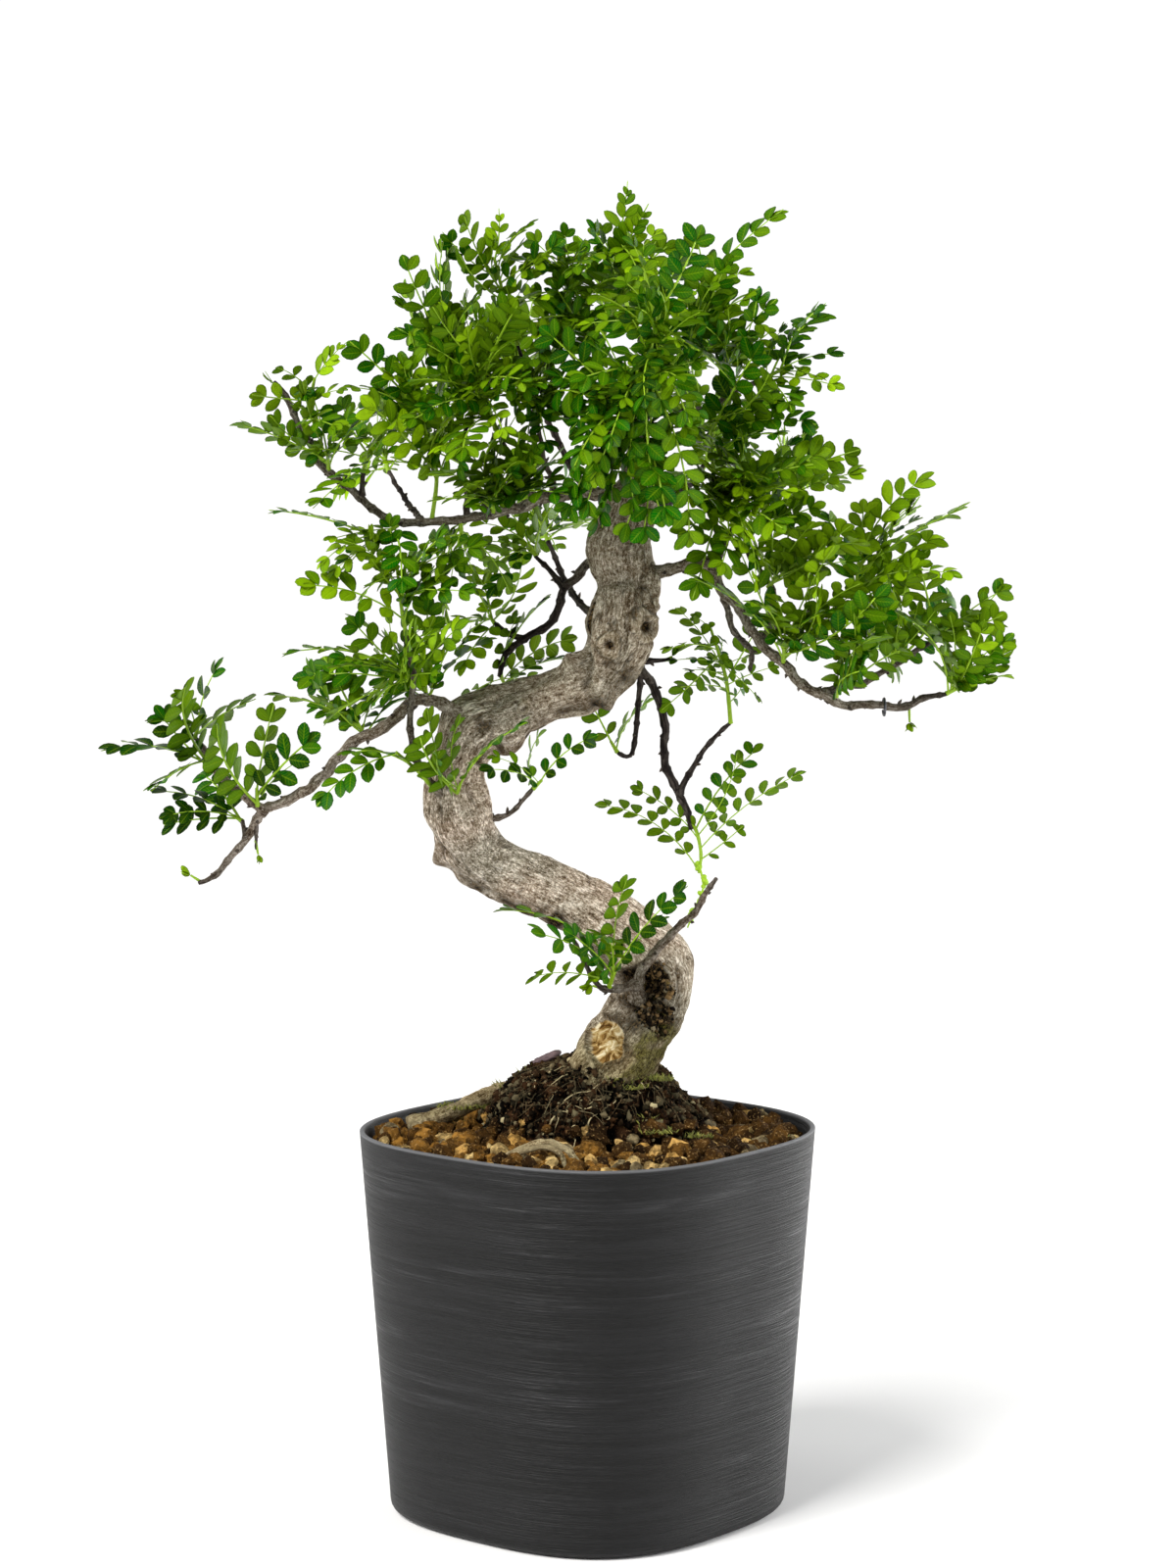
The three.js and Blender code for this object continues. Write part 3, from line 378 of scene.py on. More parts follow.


# damp peat: dark clumps with brown specks, painted shade that turns its pits and sunk crumbs black, straw
# where the pale mark is high
def peatFinish():
    f = Finish("dampPeat")
    speck, clump = f.noise(700, 5, 0.7), f.noise(150, 3, 0.6)
    pale, deep = f.mark("pale"), f.mark("deep")
    dark = f.mix(clump.between(0.4, 0.64), (8, 5, 3), (66, 44, 27))
    crumb = f.mix(speck.between(0.56, 0.67), dark, (150, 116, 78))
    # painted shade: black where the deep mark is high
    pit = f.mix(deep, crumb, (5, 4, 3))
    colour = f.mix(pale, pit, (222, 206, 158))
    return f.surface(colour, 0.92 - pale * 0.2, speck + clump, 0.002, gloss=0.03)


# bark, on flow marks in millimetres round the wood (x, y) and along it (z): flecks, streaks, rings, blots
# pick the tone, the bend gets painted light, and twigs, rot and painted shade, moss, the scar's heart and
# bare faces lie over it by their marks
def barkFinish():
    f = Finish("greyBrownBark")
    twig, stain, wound, moss, face, *ways = (f.mark(m) for m in barkMarks)
    flow = f.node("CombineXYZ", {}, dict(enumerate(ways)))
    fleck = f.noise((1.15, 1.15, 0.7), 4, 0.8, at=flow)
    blot = f.noise((0.26, 0.26, 0.2), 3, 0.6, 0.4, at=flow)
    streak = f.noise((0.62, 0.62, 0.13), 5, 0.72, 0.6, at=flow)
    ring = f.noise((0.12, 0.12, 0.62), 3, 0.65, 0.6, at=flow)
    dot = f.noise((1.7, 1.7, 1.3), 2, 0.5, at=flow)
    crumb = f.noise((1.1, 1.1, 0.8), 4, 0.75, 0.8, at=flow)
    fibre = f.noise((0.2, 0.2, 0.15), 5, 0.7, 0.7, at=flow)
    cloud, z = f.noise(26, 3, 0.55), f.height()
    mixed = fleck * 0.46 + streak * 0.28 + ring * 0.1 + blot * 0.16
    warm = f.ramp(
        mixed,
        (0.41, 58, 43, 29), (0.46, 116, 98, 76), (0.505, 160, 145, 124), (0.545, 198, 186, 165),
        (0.59, 244, 234, 217),
    )
    cool = f.ramp(
        mixed, (0.415, 50, 46, 33), (0.47, 108, 105, 87), (0.525, 150, 148, 130), (0.59, 222, 218, 201)
    )
    both = f.mix(cloud.between(0.36, 0.72) * 0.75, warm, cool)
    pitted = f.mix(dot.between(0.36, 0.3) * 0.7, both, (62, 48, 36))
    dotted = f.mix(dot.between(0.64, 0.7) * 0.7, pitted, (236, 230, 212))
    bend = z.between(0.365, 0.33) * z.between(0.238, 0.264)  # painted light: the bend, which faces the key light, is made the palest stretch
    pale = f.mix(bend * 0.85, dotted, (1.55, 1.5, 1.6, 1.0), "MULTIPLY")
    trunk = f.mix(z.between(0.222, 0.202) * 0.8, pale, (0.92, 0.84, 0.56, 1.0), "MULTIPLY")
    # the twig mark is the dark colour of thin wood, with painted shade on the rear arms
    wood = f.mix(twig, trunk, f.ramp(streak, (0.34, 18, 15, 15), (0.5, 40, 34, 32), (0.66, 84, 77, 72)))
    pitch = f.mix(crumb.between(0.48, 0.61), (12, 8, 5), (124, 100, 66))
    # the stain mark is real rot, and painted shade in cracks, creases, knot eyes, about the hollow and under
    # the wood; all of it takes the dark pitch colour
    rotten = f.mix((stain * (fleck + streak + 0.1)).between(0.18, 0.72), wood, pitch)
    green = f.mix(fleck.between(0.42, 0.6), (34, 32, 10), (120, 114, 50))
    grown = f.mix((moss * (streak + fleck)).between(0.3, 0.85) * 0.8, rotten, green)
    heart = f.ramp(
        fibre, (0.38, 92, 64, 30), (0.45, 160, 122, 64), (0.52, 210, 182, 122), (0.6, 252, 240, 204)
    )
    cut = f.mix(wound.between(0.35, 0.75), grown, heart)
    colour = f.mix(face * 0.75, cut, f.mix((streak + fleck) * 0.5, (104, 90, 58), (214, 198, 158)))
    height = (streak * 0.8 + fleck * 0.5 + ring * 0.4 + blot * 0.6 + stain * crumb) * (1 - twig * 0.6)
    return f.surface(colour, 0.84 - twig * 0.14, height, 0.0024, gloss=0.06)


# leaf: green by its tone, with a pale midrib and veins, a paler underside, painted shade round its rim and
# at its base, or dry yellow
def leafFinish():
    f = Finish("leafBlade")
    tone, along, across, under, sere = (f.mark(m) for m in leafMarks)
    mottle, off = f.noise(300, 3, 0.6), across.size()
    body = f.ramp(
        tone, (0.0, 0, 48, 6), (0.25, 4, 88, 2), (0.5, 60, 106, 2), (0.75, 100, 138, 6), (1.0, 148, 190, 12)
    )
    worn = f.mix(mottle.between(0.35, 0.75) * 0.3, body, (84, 104, 4))
    rib = 1 - off.between(0.02, 0.16)
    vein = ((along - off * 0.22) * 46).sine().between(0.45, 1.0) * 0.12
    veined = f.mix(rib * 0.24 + vein, worn, (142, 178, 12))
    below = f.mix(under.above(0.5) * 0.5, veined, (108, 140, 14))
    # painted shade: a dark rim round each blade and a darker base, where neighbours shade it
    rimAndBaseShaded = f.mix(off.between(0.62, 1.0) * 0.62 + along.between(0.22, 0.0) * 0.3, below, (10, 36, 0))
    colour = f.mix(sere, rimAndBaseShaded, (206, 186, 10))
    height = mottle * 0.3 - rib * 0.6 - vein
    return f.surface(colour, 0.24 + tone * 0.16 + mottle * 0.16, height, 0.0004, 0.6, gloss=0.05)


# green stalk: streaked, and duller as the tone goes up
def stalkFinish():
    f = Finish("greenStalk")
    streak = f.noise((400, 400, 120), 3, 0.6)
    fresh = f.mix(streak, (116, 158, 14), (166, 204, 44))
    colour = f.mix(f.mark("tone"), fresh, (82, 100, 22))
    return f.surface(colour, 0.5 + streak * 0.1, streak, 0.0003, 0.5, gloss=0.3)


# moss: from deep to pale green by the tone, with dry specks
def mossFinish():
    f = Finish("moss")
    speck = f.noise(900, 3, 0.6)
    fresh = f.mix(f.mark("tone"), (58, 70, 16), (138, 142, 52))
    colour = f.mix(speck.between(0.4, 0.7) * 0.4, fresh, (178, 164, 96))
    return f.surface(colour, 0.85 + speck * 0.1, speck, 0.0006, 0.6)


# weathered flake: grey-brown with a grain along it
def flakeFinish():
    f = Finish("weatheredFlake")
    fibre = f.noise((160, 520, 520), 4, 0.65, 0.5)
    colour = f.mix(fibre.between(0.35, 0.7), (66, 50, 54), (118, 96, 98))
    return f.surface(colour, 0.78 - fibre * 0.1, fibre, 0.0008, 0.8)


# training wire: grey metal with scuffs
def wireFinish():
    f = Finish("trainingWire")
    scuff = f.noise(700, 3, 0.6)
    colour = f.mix(scuff.between(0.45, 0.7) * 0.6, (62, 62, 66), (130, 130, 134))
    return f.surface(colour, 0.36 + scuff * 0.2, scuff, 0.0002, 0.5, metal=0.9)


look = {
    "pot": potFinish(), "grains": grainFinish(), "peat": peatFinish(), "bark": barkFinish(),
    "leaf": leafFinish(), "stalk": stalkFinish(), "moss": mossFinish(), "flake": flakeFinish(),
    "wire": wireFinish(),
}
print("stage: finishes made")

# planter: "corner" is the exponent of its rounded square
pot = {
    "height": 170, "rimHalf": 91, "baseHalf": 79, "corner": 2.8, "turn": math.radians(39.5), "around": 288,
    "wall": 2.8, "lipWall": 2.0, "lipDepth": 4.0, "lipRound": 0.8, "floor": 5.0, "footDrop": 4.5,
    "underShares": (0.15, 0.3, 0.5, 0.7, 0.88), "floorShares": (0.94, 0.7, 0.45, 0.2),
    "drainHoles": 4, "drainRadius": 5.0, "drainReach": 42.0, "drainSides": 32, "crease": 32,
}


# half width of the outside at a height, from flat to flat
def potHalf(z):
    return pot["baseHalf"] + (pot["rimHalf"] - pot["baseHalf"]) * np.asarray(z) / pot["height"]


# rounded square: reach = half (|cos|^n + |sin|^n)^(-1/n), turned so that one corner faces the front
def potReach(angle, half):
    n, own = pot["corner"], angle + pot["turn"]
    return half * (np.abs(np.cos(own)) ** n + np.abs(np.sin(own)) ** n) ** (-1 / n)


# level rings: (x + reach cos a, y + reach sin a, height), one for each height
def levelRings(reach, heights, around, x=0, y=0):
    angle = turnsOf(around)
    heights = np.asarray(heights, float)[:, None] + 0 * angle
    return np.stack([x + reach * np.cos(angle), y + reach * np.sin(angle), heights], -1)


# the planter's outline at each height, with these half widths
def potRings(halves, heights, around):
    return levelRings(potReach(turnsOf(around), np.asarray(halves)[:, None]), heights, around)


# profile from the middle of the underside: round foot, wall, rolled lip, inner wall, floor
def makePot():
    top, lip, drop = pot["height"], pot["lipRound"], pot["footDrop"]
    arc = np.linspace(0, math.pi / 2, 7)
    rise, pull = 1 - np.cos(arc), 1 - np.sin(arc)
    foot = [potHalf(drop * rise) - drop * pull, drop * rise]
    outside = np.linspace(drop, top - lip, 26)[1:]
    inside = np.linspace(top - pot["lipDepth"], pot["floor"], 12)
    wall, down = [potHalf(outside), outside], [potHalf(inside) - pot["wall"], inside]
    over = [potHalf(top) - lip * rise[1:], top - lip * pull[1:]]
    back = [potHalf(top) - pot["lipWall"] + lip * pull, top - lip * rise]
    below, within = np.array(pot["underShares"]), np.array(pot["floorShares"])
    under, floor = [foot[0][0] * below, 0 * below], [down[0][-1] * within, pot["floor"] + 0 * within]
    halves, heights = np.hstack([under, foot, wall, over, back, down, floor])
    ends = np.array([[[0, 0, 0], [0, 0, pot["floor"]]]])
    net = closedNets(potRings(halves, heights, pot["around"])[None], ends)
    piece = Shell().put(net).build("planter", [look["pot"]], "pot", ["pot"])
    cutDrains(piece)
    piece.data.set_sharp_from_angle(angle=math.radians(pot["crease"]))


# drain holes: upright tubes at even turns, each at (reach cos a, reach sin a), are taken out of the floor
def cutDrains(piece):
    stops = np.array([[0, 0, z, pot["drainRadius"]] for z in (-6, 4, 14)], float)
    for i in range(pot["drainHoles"]):
        a = tau * (i + 0.5) / pot["drainHoles"] - pot["turn"]
        bore = stops + (pot["drainReach"] * math.cos(a), pot["drainReach"] * math.sin(a), 0, 0)
        cutter = Shell().put(tubeNet(bore, pot["drainSides"])).build("cutter", [look["pot"]], "pot")
        cut = piece.modifiers.new("drain", "BOOLEAN")
        cut.operation, cut.object, cut.solver = "DIFFERENCE", cutter, "EXACT"
        view = bpy.context.evaluated_depsgraph_get()
        view.update()
        mesh = bpy.data.meshes.new_from_object(piece.evaluated_get(view))
        piece.modifiers.clear()
        piece.data = mesh
        bpy.data.objects.remove(cutter)
    piece.data.name = "planter"


makePot()
print("stage: planter")

# granules: "layers" has lift, share kept and size of the first layer, loose ones on it and small ones, and
# "lump" has columns, bands and raggedness of a grain
soil = {
    "level": 163.6, "relief": 1.2, "around": 180, "clearance": 0.3, "spacing": 6.7, "jitter": 0.7,
    "reach": 19, "least": 2.3, "most": 5.0, "climb": 7, "rimGap": 0.8, "lump": (8, 4, 0.5),
    "layers": ((0, 1, 1), (3.4, 0.55, 1), (1.5, 0.6, 0.42)),
}

# root ball: "sag" is share, start and end in x, "heap" is height, middle in x and y, and width in x and y
mound = {
    "x": 5.0, "y": 12.0, "radius": 51.0, "foot": 134.0, "shoulder": 163.0, "top": 199.0, "fullness": 2.3,
    "around": 200, "lumps": ((13, 2.0), (5, 2.0), (2.4, 1.3)), "sag": (0.34, 29, 46),
    "heap": (4.5, 2, -14, 26, 13), "crumbs": 4600, "crumb": (5, 3, 0.9), "crumbReach": 53,
    "fibres": 900, "fibreReach": 45, "tangle": 20,
}


# distance from the root ball's upright axis
def fromMound(x, y):
    return np.hypot(x - mound["x"], y - mound["y"])


# share of the height that is missing on the right flank
def sagging(x):
    share, start, end = mound["sag"]
    return share * ease(x, start, end)


# peat heaped against the front of the trunk: tall exp(-((x - x0) / wide)^2 - ((y - y0) / deep)^2)
def heaped(x, y):
    tall, midX, midY, wide, deep = mound["heap"]
    return tall * np.exp(-(((x - midX) / wide) ** 2) - ((y - midY) / deep) ** 2)


# height of the root ball: shoulder + rise (1 - (d / R)^2)^(1 / fullness) (1 - sag) + heap, or of the bed
def moundHeight(x, y):
    share = 1 - (fromMound(x, y) / mound["radius"]) ** 2
    rise = (mound["top"] - mound["shoulder"]) * np.clip(share, 0, 1) ** (1 / mound["fullness"])
    rise = rise * (1 - sagging(x)) + heaped(x, y)
    return np.where(share > 0, mound["shoulder"] + rise, soil["level"])


# circles of the root ball, one for each radius and height
def moundRings(radii, heights, around):
    return levelRings(np.asarray(radii)[:, None], heights, around, mound["x"], mound["y"])


# offsets strewn evenly over a disc: reach sqrt(one draw), turned by the other
def strewn(reach, near, turn):
    d, a = reach * np.sqrt(near), tau * turn
    return d * np.cos(a), d * np.sin(a)


# bed under the grains: up the planter's inside, in over a rough top, and down the plain pit
def makeBed():
    inset = pot["wall"] + soil["clearance"]
    low, level, around = pot["floor"] + soil["clearance"], soil["level"], soil["around"]
    levels = np.linspace(low, level, 8)
    wall = potRings(potHalf(levels) - inset, levels, around)
    pit, wide = mound["foot"] - soil["clearance"], mound["radius"] + soil["clearance"]
    down = moundRings([wide] * 3, [level, (level + pit) / 2, pit], around)
    share = np.linspace(0, 1, 26)[1:-1, None, None]
    top = wall[-1] * (1 - share) + down[0] * share
    top[..., 2] += soil["relief"] * rough(top * (1, 1, 0), 5, 3, 4)
    poles = np.array([[0, 0, low], [mound["x"], mound["y"], pit]], float)
    net = closedNets(np.concatenate([wall, top, down])[None], poles[None])
    # the bed keeps tone 0, the darkest grain brown: painted shade in the gaps between the grains
    Shell("tone").put(net).build("soilBed", [look["grains"]], "granules", ["substrate"], 40)


# lumps of a unit ball: rings of (cos a sin p, sin a sin p, cos p), each point pulled in or out
def lumps(count, seed, columns, bands, ragged):
    p, a = (np.pi * (np.arange(bands)[::-1] + 1) / (bands + 1))[:, None], turnsOf(columns)
    ball = np.stack([np.sin(p) * np.cos(a), np.sin(p) * np.sin(a), np.cos(p) + 0 * a], -1).reshape(-1, 3)
    ball, n = np.concatenate([ball, [[0, 0, -1], [0, 0, 1]]]), np.arange(count)[:, None]
    pull = 1 + ragged * (draw(n, np.arange(len(ball))[None], seed) - 0.5)
    axes = 0.72 + 0.5 * draw(n, np.arange(3)[None], seed + 1)
    return ball[None] * pull[..., None] * axes[:, None]


# turns by unit quaternions of four settled draws
def spins(count, seed):
    q = unit(draw(np.arange(count)[:, None], np.arange(4)[None], seed) - 0.5)
    w, x, y, z = q.T
    rows = [1 - 2 * (y * y + z * z), 2 * (x * y - z * w), 2 * (x * z + y * w),
            2 * (x * y + z * w), 1 - 2 * (x * x + z * z), 2 * (y * z - x * w),
            2 * (x * z - y * w), 2 * (y * z + x * w), 1 - 2 * (x * x + y * y)]
    return np.stack(rows, -1).reshape(-1, 3, 3)


# lumps set down at their places: place + radius (turn . lump)
def setLumps(places, radii, seed, columns, bands, ragged):
    count = len(places)
    shapes = np.einsum("nij,nkj->nki", spins(count, seed), lumps(count, seed, columns, bands, ragged))
    points = places[:, None] + shapes * np.asarray(radii)[:, None, None]
    rings = points[:, :-2].reshape(count, bands, columns, 3)
    return closedNets(rings, points[:, -2:])


# grains on a jittered grid between wall and root ball, darker towards the ball, and darker to the right of
# it by painted shade
def makeGrains():
    gap, radius, shell = soil["spacing"], mound["radius"], Shell("tone")
    half = potHalf(soil["level"]) - pot["wall"] - soil["rimGap"]
    row = np.arange(-soil["reach"], soil["reach"] + 1)
    for layer, (lift, keep, share) in enumerate(soil["layers"]):
        u, v = (grid.ravel() for grid in np.meshgrid(row, row))
        x = gap * (u + 0.5 * (v % 2) + soil["jitter"] * (draw(u, v, 1 + layer) - 0.5))
        y = gap * (0.9 * v + soil["jitter"] * (draw(u, v, 3 + layer) - 0.5))
        size = (soil["least"] + (soil["most"] - soil["least"]) * draw(u, v, 5 + layer) ** 1.1) * share
        inside = potReach(np.arctan2(y, x), half) - size > np.hypot(x, y)
        far = fromMound(x, y) - radius + 6 * (draw(u, v, 7) - 0.3)
        front = 1.5 * (y < mound["y"] - 20)  # grains lie further up the front of the root ball
        some = inside & (far > -1 - front) & (draw(u, v, 8 + layer) < keep)
        x, y, size, u, v = (one[some] for one in (x, y, size, u, v))
        ground = moundHeight(x, y)
        z = np.clip(ground - 1, soil["level"], soil["level"] + soil["climb"]) + lift + 0.25 * size
        z = np.minimum(z, pot["height"] + 1.5 - size * 0.4 + np.maximum(ground - 164, 0))
        tone = draw(u, v, 9 + layer)
        tone = np.where(tone < 0.8, tone * 0.84, np.where(tone < 0.92, tone - 0.06, tone))
        near = ease(-fromMound(x, y), -radius - 12, -radius + 4)
        # darker towards the ball, and painted shade that darkens the grains to the right of it
        tone = np.where(tone < 0.68, tone * (0.77 - 0.47 * near) * (1 - 0.68 * ease(x, 0, 60)), tone)
        shell.put(setLumps(np.stack([x, y, z], -1), size, 11 + layer, *soil["lump"]), tone=tone)
    shell.build("grains", [look["grains"]], "granules", (), 30)


# root ball: plain plug, then rings of radius R sqrt(1 - s^fullness) with lumps of three sizes, and crumbs
def makeMound():
    middle, shoulder = (mound["x"], mound["y"]), mound["shoulder"]
    share = np.sin(np.linspace(0, math.pi / 2, 44))[1:-1]
    radii = np.r_[[mound["radius"]] * 4, mound["radius"] * np.sqrt(1 - share ** mound["fullness"])]
    dome = shoulder + (mound["top"] - shoulder) * share
    rings = moundRings(radii, np.r_[np.linspace(mound["foot"], shoulder, 4), dome], mound["around"])
    x, y, z = (rings[..., i] for i in range(3))
    z -= sagging(x) * np.maximum(z - shoulder, 0)
    z += heaped(x, y) * ease(z, shoulder, shoulder + 12)
    relief = sum(tall * grain(rings, wide, 21 + wide) for wide, tall in mound["lumps"]) - 1.8
    away = unit(rings - (*middle, shoulder)) * (relief * ease(z, shoulder - 2, shoulder + 4))[..., None]
    poles = np.array([[*middle, mound["foot"]], [*middle, mound["top"]]])
    net = closedNets((rings + away)[None], poles[None])
    # the deep mark is painted shade, high in the low places between the lumps
    shell = Shell("pale", "deep").put(net, deep=withPoles(1 - ease(relief, -3.2, -0.6), 0, 0))
    n = np.arange(mound["crumbs"])
    x, y = strewn(mound["crumbReach"], draw(n, 1, 31), draw(n, 2, 31))
    x, y = mound["x"] + x, mound["y"] + y
    size, stand = 0.5 + 1.5 * draw(n, 3, 31) ** 2.8, draw(n, 4, 31)
    z = moundHeight(x, y) + 0.5 * size + 3.2 * (stand - 0.8)
    pale = 0.9 * (draw(n, 5, 31) > 0.991) + 0.3 * draw(n, 6, 31) ** 6
    net = setLumps(np.stack([x, y, z], -1), size, 33, *mound["crumb"])
    # the deep mark is painted shade, high on crumbs that sit low
    shell.put(net, pale=pale, deep=0.97 * (1 - ease(stand, 0.25, 0.95)))
    shell.build("rootBall", [look["peat"]], "peat", ["root_mound"])


# strands: place + way t + bow (1 - (2t - 1)^2), held just over the ground and thinning to the end
def makeFibres():
    n, t = np.arange(mound["fibres"]), np.linspace(0, 1, 7)[None, :, None]
    x, y = strewn(mound["fibreReach"], draw(n, 1, 41), draw(n, 2, 41))
    x, y = mound["x"] + x, mound["y"] + y
    near = n < mound["tangle"]  # a few pale straws lie together at the front
    x, y = np.where(near, -2 + 0.42 * (x - 5), x), np.where(near, -31 + 0.13 * (y - 12), y)
    start = np.stack([x, y, moundHeight(x, y) - 0.2], -1)
    swing = tau * draw(n, 3, 41)
    long = 4 + 11 * draw(n, 4, 41) ** 2
    way = np.stack([np.cos(swing), np.sin(swing) * np.where(near, 0.3, 1), 0.1 * np.sin(7 * swing)], -1)
    bow = np.stack([-np.sin(swing), np.cos(swing), 0.9 + 0 * swing], -1)
    bow = bow * (long * 0.22 * draw(n, 5, 41))[:, None]
    spine = start[:, None] + (way * long[:, None])[:, None] * t + bow[:, None] * (1 - (2 * t - 1) ** 2)
    ground = moundHeight(spine[..., 0], spine[..., 1])
    spine[..., 2] = ground + np.clip(spine[..., 2] - ground, 0.5, 1.6)
    heading = unit(np.gradient(spine, axis=1))
    side = unit(np.cross(heading, [0.1, 0.2, 1.0]))
    over = np.cross(heading, side)
    pale = np.where(near, 0.95, (draw(n, 6, 41) > 0.93) * (0.35 + 0.5 * draw(n, 7, 41)))
    thick = (0.18 + 0.2 * draw(n, 8, 41) + 0.14 * pale)[:, None] * (1 - 0.7 * t[..., 0])
    rings = spine[:, :, None] + circle(side, over, 3) * thick[..., None, None]
    net = closedNets(rings, spine[:, [0, -1]])
    Shell("pale").put(net, pale=0.12 + pale).build("rootFibres", [look["peat"]], "peat")


makeBed()
makeGrains()
makeMound()
makeFibres()
print("stage: soil")

# wood: steps and sides of its tubes, relief of the trunk, nodes and collars of the arms, and the roots
wood = {
    "trunkStep": 0.85, "trunkSides": 116, "armStep": 1.5, "armSides": 10, "thinnest": 1.8, "flute": 0.05,
    "twist": 0.55 / 14, "lumps": ((17, 1.3), (7, 0.75), (3, 0.34)), "ridge": 0.8, "fissure": 0.7,
    "eye": 1.5, "flareHeight": 196, "nodeGap": 8.5, "nodeSwell": 0.26, "collar": 0.7, "slim": 0.84,
    "rootStep": 1.2, "rootSides": 18,
}

